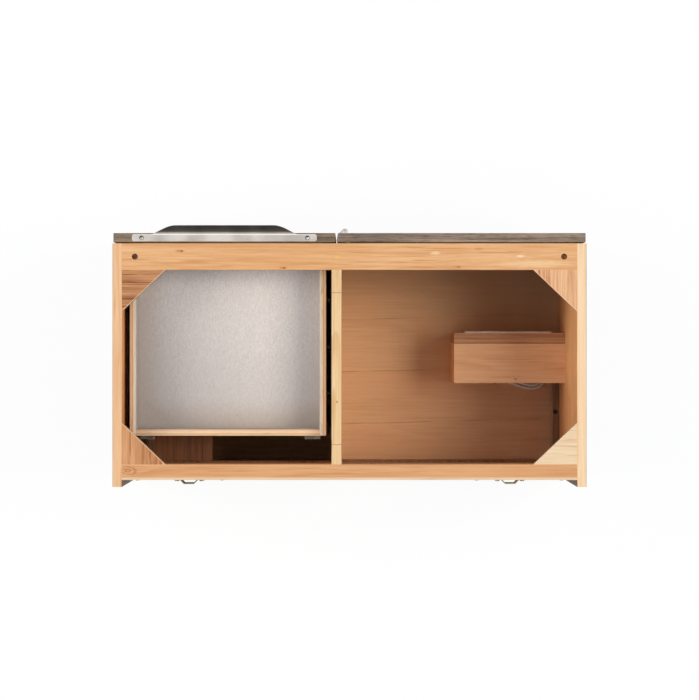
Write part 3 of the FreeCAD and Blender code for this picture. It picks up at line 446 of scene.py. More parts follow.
card_plan = [(-card_half, card_back_y), (-card_half, card_y), (card_half, card_y),
             (card_half, card_back_y)]
card_corners = [(x, y, z) for z in (floor_z, card_top) for x, y in card_plan]
black_card = stage_piece("black_card", card_corners, [(0, 1, 5, 4), (1, 2, 6, 5), (2, 3, 7, 6)],
                         card_finish)
black_card.visible_camera = False
black_card.visible_diffuse = False
black_card.visible_transmission = False
black_card.visible_shadow = False
print("card in front at", card_y, "m")

# %% [markdown]
# ## Finishes from recipes
# Every finish is a recipe: a function that takes the surface's own place in metres and returns
# what goes into the sockets of one shader. A picture wrapped round a board could show grain
# too, but the edges wouldn't agree with the faces. A recipe fills the whole solid, as grain
# does, so the edges and the faces of a board agree.

# %% Make a finish and put it on nodes
dressed = set()


def finish(name, recipe, *details, **choices):
    """Material whose shader sockets come from a recipe at the surface's own place in metres."""
    material, wire = bare_material(name)
    place = wire.add("ShaderNodeTexCoord", out="Object")
    shader = place.add("ShaderNodeBsdfPrincipled", None, recipe(place, *details, **choices))
    place.add("ShaderNodeOutputMaterial", None, {"Surface": shader})
    return material


def dress(material, *names):
    """Put a finish into every material slot of the named CAD nodes."""
    for name in names:
        for slot in nodes[name].material_slots:
            slot.material = material
    dressed.update(names)
    print(material.name, "on", ", ".join(names))


# %% [markdown]
# ## Wood
# All light boards are the same kind of timber, but each was cut from another tree, so each
# gets its own grain direction, seed and tones. A board shows the growth rings of its trunk as
# lines along the grain: the distance from an imagined heart, divided by the ring width and
# bent by slow noise, gives the rings, and the last part of every ring is the dark late wood.
# A plain wave texture would be simpler, but its lines are too even. Some rings are strong and
# most are faint, so slow noise weighs them. Noise stretched along the grain gives the medium
# streaks, the fibres and the short veins.

# %% Figure of a board
def lengthwise(grain, along, across):
    """Three numbers for X, Y and Z: one along the grain axis, the other across it."""
    numbers = [across] * 3
    numbers["XYZ".index(grain)] = along
    return tuple(numbers)


def distance_from(place, centre, stretch):
    """Distance of each point from a centre, with each axis stretched by its own factor."""
    offset = tuple(-c * s for c, s in zip(centre, stretch))
    return place.scaled(stretch, offset).length()


def wood_figure(place, grain, seed, ring, heart):
    """Late wood, streaks, fibres, short veins and slow patches of a board, each from 0 to 1."""

    def along_grain(along, across, number, **choices):
        return place.scaled(lengthwise(grain, along, across)).noise(seed + number, **choices)

    wander = along_grain(1.6, 9.0, 0) - 0.5
    trunk = distance_from(place, heart, lengthwise(grain, 0.03, 1.0))
    rings = trunk / ring + wander * 8.0
    phase = rings.math("FRACT", rings)
    strength = along_grain(1.5, 34.0, 1, detail=1.0).step(0.38, 0.72)
    late = phase.step(0.2, 0.9) * phase.step(1.0, 0.92) * strength
    streak = along_grain(4.0, 130.0, 2, detail=4.0, roughness=0.7)
    fibre = along_grain(11.0, 330.0, 3, detail=3.0, roughness=0.7)
    vein = along_grain(9.0, 250.0, 7).step(0.57, 0.7)
    patch = along_grain(2.0, 11.0, 4)
    return late, streak, fibre, vein, patch


print("streaks along Y are stretched by", lengthwise("Y", 4.0, 130.0))

# %% [markdown]
# ## Marks on the boards
# Real boards have knots, filler, smudges, drilled holes and joints. They could be small pieces
# of their own, but here each is only colour, a soft shape laid over the wood: an oval with an
# uneven rim, painted shade on a hole's wall, an uneven line, or the rings of grain that close
# round a knot, which are dark lines at equal steps of distance.

# %% Ovals, swirls, holes and joints
def with_blots(place, grain, colour, blots, seed):
    """Soft ovals with uneven rims over a colour: centre, two half sizes, tone and share of each."""
    ragged = place.scaled(lengthwise(grain, 70.0, 300.0)).noise(seed) - 0.5
    for centre, along, across, tone, share in blots:
        near = distance_from(place, centre, lengthwise(grain, 1 / along, 1 / across)) + ragged * 0.9
        colour = (near.step(1.0, 0.3) * share).mix(colour, tone)
    return colour


def with_swirls(place, grain, colour, swirls, seed):
    """Dark rings at equal steps of distance round a knot, fading outwards: centre and two half sizes."""
    bent = place.scaled(lengthwise(grain, 55.0, 110.0)).noise(seed) - 0.5
    for centre, along, across in swirls:
        near = distance_from(place, centre, lengthwise(grain, 1 / along, 1 / across)) + bent * 1.7
        rings = near * 1.5
        phase = rings.math("FRACT", rings)
        line = phase.step(0.35, 0.8) * phase.step(1.0, 0.85) * near.step(1.7, 0.9)
        colour = (line * 0.65).mix(colour, paint(158, 92, 52))
    return colour


def drilled(place, colour, holes):
    """Painted shade on the walls of holes drilled down from the top edge: centre and radius of each."""
    x, y, z = place.axes()
    below = z.step(top_z - 0.0002, top_z - 0.0006)
    for hole_x, hole_y, radius in holes:
        away = ((x - hole_x) ** 2.0 + (y - hole_y) ** 2.0) ** 0.5
        hole_shade = away.step(radius + 0.0006, radius + 0.0003) * below
        # Painted shade inside each hole.
        colour = (hole_shade * 0.95).mix(colour, paint(34, 22, 14))
    return colour


def joined(place, colour, joints, seed):
    """Uneven dark lines across Y where two boards meet: place, half width and share of each."""
    y = place.axes()[1]
    ragged = place.scaled((260.0, 40.0, 40.0)).noise(seed) - 0.5
    for joint_y, half, share in joints:
        away = abs(y - joint_y + ragged * half * 2.0)
        colour = (away.step(half, half * 0.4) * share).mix(colour, paint(112, 70, 40))
    return colour


# %% [markdown]
# ## Sealed timber
# The boards are planed and lightly sealed, so they are neither dry nor glossy. Each could have
# a recipe of its own, but one with a few choices keeps them alike. The figure picks a tone
# between pale and deep, slow patches warm it, and the marks come last. Fibres stand up a little
# under the seal, and late wood is pressed in.

# %% Recipe for timber
grain_relief = 0.0002


def wood(place, tones, grain, seed, ring=0.009, heart=(0.05, -0.2, -0.1),
         shares=(0.35, 1.0, 0.7, 0.3), blots=(), holes=(), joints=(), swirls=()):
    """Lightly sealed timber: shares weigh the late wood, the streaks, the fibres and the veins."""
    pale, deep, warm = tones
    late, streak, fibre, vein, patch = wood_figure(place, grain, seed, ring, heart)
    dark = (late * shares[0] + (streak - 0.5) * shares[1] + (fibre - 0.5) * shares[2]
            + vein * shares[3])
    colour = dark.step(-0.45, 0.6).mix(pale, deep)
    colour = (patch.step(0.4, 0.68) * 0.5).mix(colour, warm)
    if blots:
        colour = with_blots(place, grain, colour, blots, seed + 5)
    if swirls:
        colour = with_swirls(place, grain, colour, swirls, seed + 8)
    if holes:
        colour = drilled(place, colour, holes)
    if joints:
        colour = joined(place, colour, joints, seed + 6)
    return {"Base Color": colour, "Roughness": 0.5 + fibre * 0.16, "Specular IOR Level": 0.25,
            "Normal": (fibre * 0.7 - late * 0.4).bump(grain_relief)}


print("grain stands up by", grain_relief, "m")

# %% [markdown]
# ## Front rail
# The front rail is the broad board that carries the countertop's front edge, with a screw hole
# near each end. Its knots, smudges and filler spots have fixed places, so they are a list of
# marks instead of noise: a flame knot is a reddish oval with a small dark core.

# %% Dress the front rail
rail_tones = paint(240, 189, 136), paint(210, 147, 93), paint(228, 169, 111)
rail_hole_x, rail_hole_y, rail_hole_radius = 0.414, -0.4445, 0.00575


def top_mark(x, y, along, across, tone, share):
    """Soft oval on a top edge."""
    return (x, y, top_z), along, across, tone, share


def flame_knot(x, y, size):
    """Two ovals: a reddish flame along the grain and a small dark core."""
    return [top_mark(x, y, 3.6 * size, 1.3 * size, paint(206, 128, 76), 0.75),
            top_mark(x - size, y, 1.1 * size, 0.7 * size, paint(140, 74, 40), 0.85)]


rail_blots = [
    top_mark(0.25, -0.4685, 0.26, 0.011, paint(216, 150, 98), 0.45),
    top_mark(-0.30, -0.4615, 0.16, 0.006, paint(222, 160, 108), 0.35),
    top_mark(-0.36, -0.431, 0.09, 0.010, paint(248, 206, 156), 0.6),
    *flame_knot(0.327, -0.4553, 0.0032),
    *flame_knot(0.1283, -0.4228, 0.0026),
    *flame_knot(-0.209, -0.4244, 0.0022),
    top_mark(-0.2498, -0.4591, 0.012, 0.003, paint(208, 132, 80), 0.6),
    top_mark(-0.318, -0.4535, 0.022, 0.003, paint(216, 136, 84), 0.5),
    top_mark(0.0241, -0.4437, 0.006, 0.004, paint(240, 196, 92), 0.7),
    top_mark(-0.3289, -0.4456, 0.012, 0.003, paint(255, 226, 190), 0.8),
    top_mark(-0.165, -0.4514, 0.014, 0.004, paint(252, 214, 166), 0.7),
]
rail_holes = [(side * rail_hole_x, rail_hole_y, rail_hole_radius) for side in (1, -1)]
dress(finish("front_rail_wood", wood, rail_tones, "X", 3, ring=0.007, shares=(0.2, 1.5, 1.6, 0.55),
             blots=rail_blots, holes=rail_holes), "front_rail")

# %% [markdown]
# ## Back rail and partition
# The back rail has a knot at one end, with the grain closing round it. The partition between
# the drawers and the door is a frame of stiles and rails, so two joint lines cross its top
# edge. The lines could be grooves in the mesh, but they are thinner than a pencil line, so
# they are marks like the knot.

# %% Dress the back rail and the partition
back_rail_tones = paint(236, 182, 131), paint(203, 138, 88), paint(223, 160, 106)
partition_tones = paint(248, 214, 166), paint(222, 176, 120), paint(240, 200, 146)
knot_swirl = (0.4255, -0.0318, top_z), 0.011, 0.0065
partition_joints = [(joint_y, 0.0011, 0.5) for joint_y in (-0.375, -0.082)]
partition_knot = top_mark(0.0241, -0.164, 0.003, 0.002, paint(120, 80, 50), 0.8)

dress(finish("back_rail_wood", wood, back_rail_tones, "X", 11, ring=0.008, heart=(0, 0.1, -0.3),
             shares=(0.25, 1.4, 1.0, 0.4), swirls=[knot_swirl]), "back_rail")
dress(finish("partition_wood", wood, partition_tones, "Y", 23, ring=0.006,
             shares=(0.5, 1.4, 1.1, 0.5), joints=partition_joints, blots=[partition_knot]),
      "partition_front_stile", "partition_back_stile", "partition_rails", "partition_panel")

# %% [markdown]
# ## Outlet box and dividers
# The outlet's box is three boards: a pale top with a dark line where it meets the front, an
# end with upright grain, and a browner front. The rails that divide the drawers sit deep in
# the cabinet, and their tones are darkened as painted shade. All could share one finish, but
# then the box would look carved from one block, so each has its own tones, seed and grain
# direction.

# %% Dress the outlet box and the dividers
box_tones = paint(254, 206, 158), paint(222, 156, 108), paint(248, 190, 142)
box_shares = 0.3, 0.45, 0.6, 0.25
box_knot = (-0.338, -0.205, -0.274), 0.004, 0.002, paint(120, 70, 44), 0.8
box_joint = -0.2781, 0.0013, 0.85
front_board_tones = paint(220, 164, 120), paint(142, 92, 60), paint(196, 140, 98)
# Divider tones darkened as painted shade for boards deep in the cabinet.
shaded_divider_tones = paint(162, 106, 68), paint(96, 58, 36), paint(140, 90, 56)

dress(finish("outlet_box_wood", wood, box_tones, "X", 31, ring=0.012, shares=box_shares,
             joints=[box_joint], blots=[box_knot]), "outlet_box_top")
dress(finish("outlet_end_wood", wood, box_tones, "Z", 32, ring=0.012, shares=box_shares),
      "outlet_box_end")
dress(finish("outlet_front_wood", wood, front_board_tones, "X", 34, ring=0.005,
             shares=(0.6, 1.6, 1.2, 0.5)), "outlet_box_front")
dress(finish("divider_wood", wood, shaded_divider_tones, "Y", 37), "divider_rails", "divider_stretcher")

# %% [markdown]
# ## Eased edges
# The cleats along the floor and the triangular corner blocks had their sharp edges eased. A
# bevel on the mesh would catch the light there, but the frame's meshes stay as they are, so a
# thin pale line follows the edge instead: a painted highlight. On a triangle the edge lies
# where the shares of its two legs add up to one.

# %% Dress the cleats
cleat_tones = paint(162, 122, 90), paint(116, 82, 56), paint(146, 107, 75)
cleat_width = 0.016
cleat_inner_x = abs(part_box("outlet_box_top")[0][0] + cleat_width)


def eased_cleat(place, tones, seed):
    """Timber strip with a painted highlight, a paler line, along its inner top edge."""
    look = wood(place, tones, "Y", seed)
    cleat_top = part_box("floor_cleats")[1][2]
    x, _, z = place.axes()
    upper = z.step(cleat_top - 0.0014, cleat_top - 0.0004)
    eased_highlight = abs(abs(x) - cleat_inner_x).step(0.0016, 0.0006) * upper
    # Painted highlight along the eased edge.
    look["Base Color"] = (eased_highlight * 0.8).mix(look["Base Color"], paint(250, 216, 176))
    return look


dress(finish("cleat_wood", eased_cleat, cleat_tones, 36), "floor_cleats")


# %% Dress the corner blocks
def block_wood(place, name, tones, grain, seed, ring, shares):
    """Timber with a painted highlight, a paler line, where the sawn edge of a triangular block was
    eased.
    """
    look = wood(place, tones, grain, seed, ring=ring, shares=shares)
    low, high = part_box(name)
    corner_x = low[0] if name.endswith("left") else high[0]
    corner_y = low[1] if "front" in name else high[1]
    x, y, z = place.axes()
    reach = abs(x - corner_x) / (high[0] - low[0]) + abs(y - corner_y) / (high[1] - low[1])
    block_edge_highlight = reach.step(0.972, 0.985) * z.step(top_z - 0.0012, top_z - 0.0004)
    # Painted highlight along the eased edge.
    look["Base Color"] = (block_edge_highlight * 0.55).mix(look["Base Color"], paint(252, 226, 190))
    return look


block_looks = {
    "corner_block_front_right": (
        (paint(216, 154, 106), paint(126, 74, 42), paint(194, 130, 84)),
        "X", 41, 0.003, (0.5, 1.7, 1.4, 0.8)),
    "corner_block_back_right": (
        (paint(230, 174, 124), paint(176, 112, 68), paint(214, 154, 106)),
        "Y", 48, 0.0065, (0.3, 1.2, 1.5, 0.8)),
    "corner_block_front_left": (
        (paint(248, 202, 156), paint(190, 118, 74), paint(236, 182, 134)),
        "Y", 55, 0.004, (0.5, 1.6, 1.2, 0.6)),
    "corner_block_back_left": (
        (paint(247, 222, 186), paint(222, 182, 138), paint(242, 212, 172)),
        "X", 62, 0.006, (0.15, 0.5, 1.0, 0.5)),
}
for name, choices in block_looks.items():
    dress(finish(name + "_wood", block_wood, name, *choices), name)

# %% [markdown]
# ## Grey-brown fronts
# The door, the drawer fronts and the outer faces of the sides have a grey-brown oak finish
# with long level streaks. Oak has open pores, so short dark dashes lie on top of the streaks.
# The ends of a front are closed with a glued edge band, whose streaks stand upright. One
# recipe makes both, and the distance from the end picks between them.

# %% Grey oak with edge bands
pore_relief = 0.0003


def grey_oak(place, seed, dark=paint(96, 79, 67), pale=paint(166, 144, 124), grain="X"):
    """Weathered oak: pale and dark streaks along the grain, bent a little, and dark pores."""
    bend = place.scaled(lengthwise(grain, 3.0, 24.0)).noise(seed) - 0.5
    lines = place.scaled(lengthwise(grain, 4.0, 170.0)).noise(seed + 1, detail=4.0, roughness=0.7)
    streak = lines + bend * 0.35
    pore = place.scaled(lengthwise(grain, 45.0, 1100.0)).noise(seed + 2, detail=1.0).step(0.56, 0.7)
    colour = streak.step(0.3, 0.7).mix(dark, pale)
    colour = (pore * 0.5).mix(colour, paint(66, 52, 43))
    return {"Base Color": colour, "Roughness": 0.48 + streak * 0.15, "Specular IOR Level": 0.35,
            "Normal": (streak * 0.5 - pore).bump(pore_relief)}


def inset(axis, low, high):
    """Distance inwards from the nearer of two ends, along one axis."""
    return (high - low) / 2 - abs(axis - (low + high) / 2)


def banded_front(place, name, seed, *tones):
    """Grey oak with level streaks, and upright ones within a millimetre of both ends."""
    look = grey_oak(place, seed, *tones)
    band = grey_oak(place, seed + 3, *tones, grain="Z")
    low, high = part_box(name)
    from_end = inset(place.axes()[0], low[0], high[0])
    look["Base Color"] = from_end.step(0.0012, 0.0008).mix(look["Base Color"], band["Base Color"])
    return look


drawer_oak = paint(90, 75, 60), paint(156, 134, 110)
for name, seed, tones in (("door", 61, ()), ("upper_drawer_front", 65, drawer_oak),
                          ("lower_drawer_front", 69, drawer_oak)):
    dress(finish(name + "_oak", banded_front, name, seed, *tones), name)

# %% [markdown]
# ## Veneered sides
# Each side is one board with three surfaces: pale edges, a deeper orange inner face, and an
# oak veneer outside. The inner face gets painted shade, deeper towards the back and darkest
# behind the back panel, with slow random clouds. The frame has one slot for the whole board,
# so the distance from the cabinet's middle picks the surface.

# %% Dress the sides
left_side_tones = paint(252, 224, 186), paint(240, 194, 146), paint(248, 212, 168)
right_side_tones = paint(246, 202, 156), paint(222, 166, 118), paint(238, 188, 142)
wall_tones = paint(254, 200, 142), paint(236, 166, 108), paint(246, 184, 122)
half_width = cad_box[1][0]
veneer = 0.0006
inner_x = abs(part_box("outlet_box_top")[0][0])
back_face_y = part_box("back_panel")[1][1]


def veneered_side(place, tones, seed):
    """Light timber; deeper inner face with painted shade towards the back and behind the back panel;
    grey oak outside.
    """
    look = wood(place, tones, "Y", seed, ring=0.011, shares=(0.35, 1.3, 1.0, 0.4))
    skin = grey_oak(place, seed + 7, grain="Y")
    inside = wood(place, wall_tones, "Y", seed + 9, ring=0.016)
    x, y, _ = place.axes()
    across = abs(x)
    cloud = place.scaled((9.0, 14.0, 9.0)).noise(seed + 11).step(0.42, 0.62)
    # Painted shade: the inner face darkens towards the back, with slow random clouds.
    shade_and_cloud = y.step(-0.26, -0.08) * 0.35 + cloud * 0.16
    shaded_inside = shade_and_cloud.mix(inside["Base Color"], paint(190, 120, 72))
    # Painted shade behind the back panel.
    shaded_behind_back = (y > back_face_y + 0.0005).mix(shaded_inside, paint(104, 74, 50))
    colour = across.step(inner_x + 0.0008, inner_x + 0.0002).mix(look["Base Color"], shaded_behind_back)
    look["Base Color"] = (across > half_width - veneer).mix(colour, skin["Base Color"])
    return look


for name, seed, tones in (("side_panel_left", 81, left_side_tones),
                          ("side_panel_right", 93, right_side_tones)):
    dress(finish(name + "_wood", veneered_side, tones, seed), name)

# %% [markdown]
# ## Cabinet floor
# The floor is glued up from boards about 110 mm wide, laid at a very small angle to the front,
# and each row is made of several lengths. They could be separate pieces, but the real floor is
# one panel. The number of the row and of the length under each point comes from rounding down,
# and picks the tint and the stretch of grain. A thin dark line marks each glue joint, stronger
# in some places than in others. On the door's side the floor is painted greyer towards the
# front, and all along the front it is painted darker: painted shade under the front rail.

# %% Edge-glued boards
inner_tones = paint(248, 202, 154), paint(214, 158, 110), paint(240, 184, 134)
board_width = 0.1097
board_length = 0.36
board_stagger = 0.29
board_slope = 0.028
first_glue_line = -0.1091
joint_edge = 0.0012
joint_core = 0.0003


def glued_boards(place, tones, seed):
    """Boards in rows along X, a tint for each length, a line at each joint, painted shade near the
    front.
    """
    x, y, _ = place.axes()
    wander = place.scaled((7.0, 2.0, 2.0)).noise(seed + 9) - 0.5
    rows = (y - x * board_slope - first_glue_line + wander * 0.004) / board_width
    row = rows.math("FLOOR", rows)
    share = rows - row
    lengths = (x + row * board_stagger) / board_length
    piece = lengths.math("FLOOR", lengths) * 0.618 + row * 0.37
    tint = piece.math("FRACT", piece)
    shift = place.add("ShaderNodeCombineXYZ", None, {0: row * 0.731, 1: row * 0.017, 2: 0.0})
    moved = place.add("ShaderNodeVectorMath", {"operation": "ADD"}, {0: place, 1: shift})
    look = wood(moved, tones, "X", seed, ring=0.012, shares=(0.15, 0.6, 0.6, 0.12))
    tinted = (tint * 0.4).mix(look["Base Color"], paint(236, 172, 128))
    joint = abs(share - 0.5).step(0.5 - joint_edge / board_width, 0.5 - joint_core / board_width)
    uneven = place.scaled((16.0, 3.0, 3.0)).noise(seed + 10, detail=1.0).step(0.4, 0.62)
    lined = (joint * (uneven * 0.35 + 0.1)).mix(tinted, paint(120, 72, 44))
    # Painted shade: greyer towards the front on the door's side, darker all along the front.
    shaded_near_door = (x.step(0.0, -0.36) * y.step(-0.18, -0.42) * 0.55).mix(lined, paint(200, 182, 148))
    look["Base Color"] = (y.step(-0.36, -0.45) * 0.5).mix(shaded_near_door, paint(176, 130, 94))
    return look


dress(finish("floor_boards", glued_boards, inner_tones, 101), "bottom_panel")

# %% [markdown]
# ## Plywood drawer boxes
# The drawer boxes are 12 mm plywood: thin veneers, glued crosswise, so the edges show bands of
# long grain and end grain. Separate sheets would be far too many pieces for a drawer, so a
# colour ramp over the depth below the outer face picks the veneer.

# %% Plywood
box_wall = 0.012
long_grain = paint(255, 242, 216)
end_grain = paint(244, 198, 152)
cross_grain = paint(246, 212, 172)
glue_line = paint(166, 106, 68)
side_bands = [(0.0, end_grain), (0.42, end_grain), (0.46, glue_line), (0.52, long_grain),
              (1.0, long_grain)]
end_bands = [(0.0, cross_grain), (0.2, end_grain), (0.26, glue_line), (0.34, cross_grain),
             (0.86, cross_grain), (0.93, glue_line), (1.0, end_grain)]


def plywood(place, name, axis, grain, bands, seed):
    """Veneer bands by the depth below the outer face of a wall, with fibres and dark flecks."""
    low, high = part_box(name)
    number = "XYZ".index(axis)
    depth = inset(place.axes()[number], low[number], high[number]) / box_wall
    band = place.add("ShaderNodeValToRGB", {"stops": bands}, {"Fac": depth})
    fibre = place.scaled(lengthwise(grain, 20.0, 500.0)).noise(seed, detail=3.0)
    fleck = place.scaled(lengthwise(grain, 30.0, 350.0)).noise(seed + 1, detail=1.0).step(0.6, 0.72)
    colour = (fibre.step(0.3, 0.75) * 0.3).mix(band, paint(206, 156, 110))
    colour = (fleck * 0.3).mix(colour, paint(120, 76, 48))
    return {"Base Color": colour, "Roughness": 0.55 + fibre * 0.15, "Specular IOR Level": 0.3,
            "Normal": fibre.bump(grain_relief)}


for number, level in enumerate(("upper", "lower")):
    sides = level + "_drawer_sides"
    dress(finish(level + "_side_ply", plywood, sides, "X", "Y", side_bands, 121 + number), sides)
    ends = level + "_drawer_ends"
    dress(finish(level + "_end_ply", plywood, ends, "Y", "X", end_bands, 131 + number), ends)

# %% [markdown]
# ## Thin sheets
# The cabinet's back and the drawer bottoms are thin pale sheets of peeled veneer, which has
# very broad rings, because the knife follows them round the trunk. They take the timber recipe
# with a large ring width.

# %% Dress the thin sheets
sheet_tones = paint(244, 216, 182), paint(212, 174, 134), paint(232, 198, 160)
dress(finish("thin_sheet", wood, sheet_tones, "X", 141, ring=0.03), "back_panel",
      "upper_drawer_bottom", "lower_drawer_bottom")

# %% [markdown]
# ## Linen-look drawer lining
# The lining is a pale grey vinyl printed and embossed like linen. A woven mesh would need
# thousands of threads, so two stretched noises, one for each thread direction, are woven
# together; the long threads run front to back. Painted shade darkens it towards the back of
# the drawer and along the walls, more on the +X side.

# %% Linen lining
thread_relief = 0.0002


def linen(place, seed):
    """Warp along Y, weft along X, slow clouds, painted shade towards the back and at the walls."""
    warp = place.scaled((560.0, 130.0, 130.0)).noise(seed, detail=3.0, roughness=0.65)
    weft = place.scaled((150.0, 560.0, 560.0)).noise(seed + 1, roughness=0.65)
    cloud = place.scaled((8.0, 5.0, 8.0)).noise(seed + 2)
    low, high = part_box("upper_drawer_liner")
    x, y, _ = place.axes()
    # Painted shade along the walls, stronger on the +X side.
    side_shade_weight = (x - (low[0] + high[0]) / 2).step(-0.05, 0.05) * 0.45 + 0.55
    shade_at_sides = inset(x, low[0], high[0]).step(0.075, 0.0) * side_shade_weight
    shade_at_walls = shade_at_sides + inset(y, low[1], high[1]).step(0.065, 0.0)
    wall_shade = shade_at_walls.math("MINIMUM", shade_at_walls, 1.0)
    thread = warp * 0.6 + weft * 0.4
    colour = thread.step(0.28, 0.72).mix(paint(210, 203, 199), paint(246, 241, 238))
    colour = (cloud.step(0.4, 0.7) * 0.3).mix(colour, paint(230, 223, 220))
    # Painted shade towards the back of the drawer.
    colour = (y.step(low[1] + 0.06, high[1] - 0.03) * 0.42).mix(colour, paint(182, 172, 165))
    # Painted shade along the walls.
    colour = (wall_shade * 0.52).mix(colour, paint(166, 146, 129))
    return {"Base Color": colour, "Roughness": 0.6 + warp * 0.15, "Specular IOR Level": 0.25,
            "Normal": thread.bump(thread_relief)}


dress(finish("linen_lining", linen, 151), "upper_drawer_liner", "lower_drawer_liner")

# %% [markdown]
# ## Steel pulls
# The edge pulls are brushed stainless steel. Brushing could be the shader's anisotropy, but
# that is lost when a finish is baked for other programs, so it is noise stretched along the
# stroke. Its slow bright and grey zones are a painted reflection. Along the fold over the
# front's edge a bright line is a painted highlight, the nose below it is rougher and has
# painted shade, and a ring of painted shade lies between each screw and its countersink.

# %% Brushed steel
brush_relief = 0.00004
brush_level = 20.0, 900.0, 900.0
brush_upright = 900.0, 900.0, 20.0


def brushed_steel(place, seed, brush=brush_level, rough=0.22):
    """Satin steel: fine brush strokes in the roughness and the bump, slow bright and grey zones as
    painted reflection.
    """
    stroke = place.scaled(brush).noise(seed, detail=3.0, roughness=0.65)
    slow = place.scaled(tuple(min(share, 20.0) for share in brush)).noise(seed + 1, detail=1.0)
    # Painted reflection: slow bright and grey zones, mixed with the brush strokes.
    sheen_and_stroke = slow.step(0.3, 0.7) * 0.6 + stroke * 0.4
    return {"Base Color": sheen_and_stroke.mix(paint(172, 165, 158), paint(226, 220, 214)), "Metallic": 1.0,
            "Roughness": rough + stroke * 0.12, "Normal": stroke.bump(brush_relief)}


def folded_steel(place, seed, front_node):
    """Satin steel with a painted highlight just behind the face of a front, and painted shade and more
    roughness before it.
    """
    look = brushed_steel(place, seed)
    behind = place.axes()[1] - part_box(front_node)[0][1]
    fold_highlight = behind.step(0.0012, 0.0022) * behind.step(0.0042, 0.0030)
    nose = behind.step(0.0018, 0.0006)
    below = behind.step(-0.0090, -0.0010) * nose
    # Painted shade on the nose, most just below the fold.
    colour = (nose * 0.18 + below * 0.27).mix(look["Base Color"], paint(108, 98, 88))
    # Painted highlight along the fold.
    look["Base Color"] = (fold_highlight * 0.9).mix(colour, paint(250, 247, 243))
    look["Roughness"] = look["Roughness"] + below * 0.33
    return look


def countersunk_steel(place, seed, front_node, screw_node):
    """Folded satin steel with a ring of painted shade between a screw's rim and its countersink, in
    plan.
    """
    look = folded_steel(place, seed, front_node)
    low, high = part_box(screw_node)
    rim = (high[1] - low[1]) / 2
    middle_y = (low[1] + high[1]) / 2
    for screw_x in (low[0] + rim, high[0] - rim):
        away = distance_from(place, (screw_x, middle_y, 0.0), (1, 1, 0))
        rim_shade = away.step(rim - 0.0006, rim - 0.0001) * away.step(rim + 0.0012, rim + 0.0006)
        # Painted shade in the ring between the screw's rim and its countersink.
        look["Base Color"] = (rim_shade * 0.85).mix(look["Base Color"], paint(52, 48, 44))
    return look


dress(finish("satin_steel", countersunk_steel, 161, "upper_drawer_front", "upper_pull_screws"),
      "upper_drawer_pull", "lower_drawer_pull", "upper_pull_screws", "lower_pull_screws")
dress(finish("satin_steel_upright", brushed_steel, 162, brush_upright, 0.07),
      "door_pull", "door_pull_screws")

# %% [markdown]
# ## Plated slides, hinges and hangers
# The slides and hinges are bright zinc, the hangers zinc with an olive passivation, and the
# plug's pins brass. Plating grows in soft cloudy crystals, so noise of two sizes is enough.
# The slides' rails have painted shade, darker and less metallic, between the wall and the track.

# %% Zinc and brass
plate_relief = 0.00003
rail_shade_reach = 0.0225
rail_shade_fade = 0.0245
rail_low, rail_high = (corner[0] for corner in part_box("upper_slide_rails"))


def zinc_plate(place, light, dark, seed, rough):
    """Plated metal: soft cloudy crystals."""
    cloud = place.noise(seed, scale=90.0, detail=3.0)
    fine = place.noise(seed + 1, scale=700.0)
    return {"Base Color": cloud.step(0.35, 0.65).mix(dark, light), "Metallic": 1.0,
            "Roughness": rough + fine * 0.15, "Normal": fine.bump(plate_relief)}


def slide_rail_zinc(place, light, dark, seed, rough):
    """Zinc plate with painted shade, dark and less metallic, between the wall and the track."""
    look = zinc_plate(place, light, dark, seed, rough)
    x = place.axes()[0]
    to_wall = x.math("MINIMUM", abs(x - rail_low), abs(x - rail_high))
    rail_shade = to_wall.step(rail_shade_fade, rail_shade_reach)
    # Painted shade between the wall and the track: darker and less metallic.
    look["Base Color"] = rail_shade.mix(look["Base Color"], paint(104, 98, 86))
    look["Metallic"] = 1.0 - rail_shade * 0.6
    return look


dress(finish("slide_rail_zinc", slide_rail_zinc, paint(170, 166, 160), paint(130, 127, 122), 176,
             0.36), "upper_slide_rails", "lower_slide_rails")
dress(finish("bright_zinc", zinc_plate, paint(196, 198, 200), paint(160, 163, 166), 171, 0.32),
      "hinge_arms", "hinge_cups", "hinge_pins", "hinge_plates", "rear_screws",
      "upper_slide_runners", "upper_slide_carriages", "lower_slide_runners", "lower_slide_carriages")
dress(finish("olive_zinc", zinc_plate, paint(150, 142, 112), paint(110, 104, 80), 181, 0.4),
      "wall_hangers")
dress(finish("brass", zinc_plate, paint(226, 196, 132), paint(206, 172, 106), 191, 0.25),
      "cord_plug_pins")

# %% [markdown]
# ## Plastics
# The outlet, the cord and the plug are moulded plastic. One flat colour would look like paint:
# moulded parts have slow flow marks and a very fine spark texture from the mould, so two
# noises give both. The tie is dark, and the door bumpers are soft brown rubber.

# %% Moulded plastic
spark_relief = 0.00003


def moulded(place, light, dark, seed, rough):
    """Moulded plastic: nearly even colour, a fine spark texture and slow flow marks."""
    flow = place.noise(seed, scale=30.0)
    spark = place.noise(seed + 1, scale=2200.0, detail=1.0)
    return {"Base Color": flow.step(0.3, 0.7).mix(dark, light), "Roughness": rough + spark * 0.12,
            "Normal": spark.bump(spark_relief)}


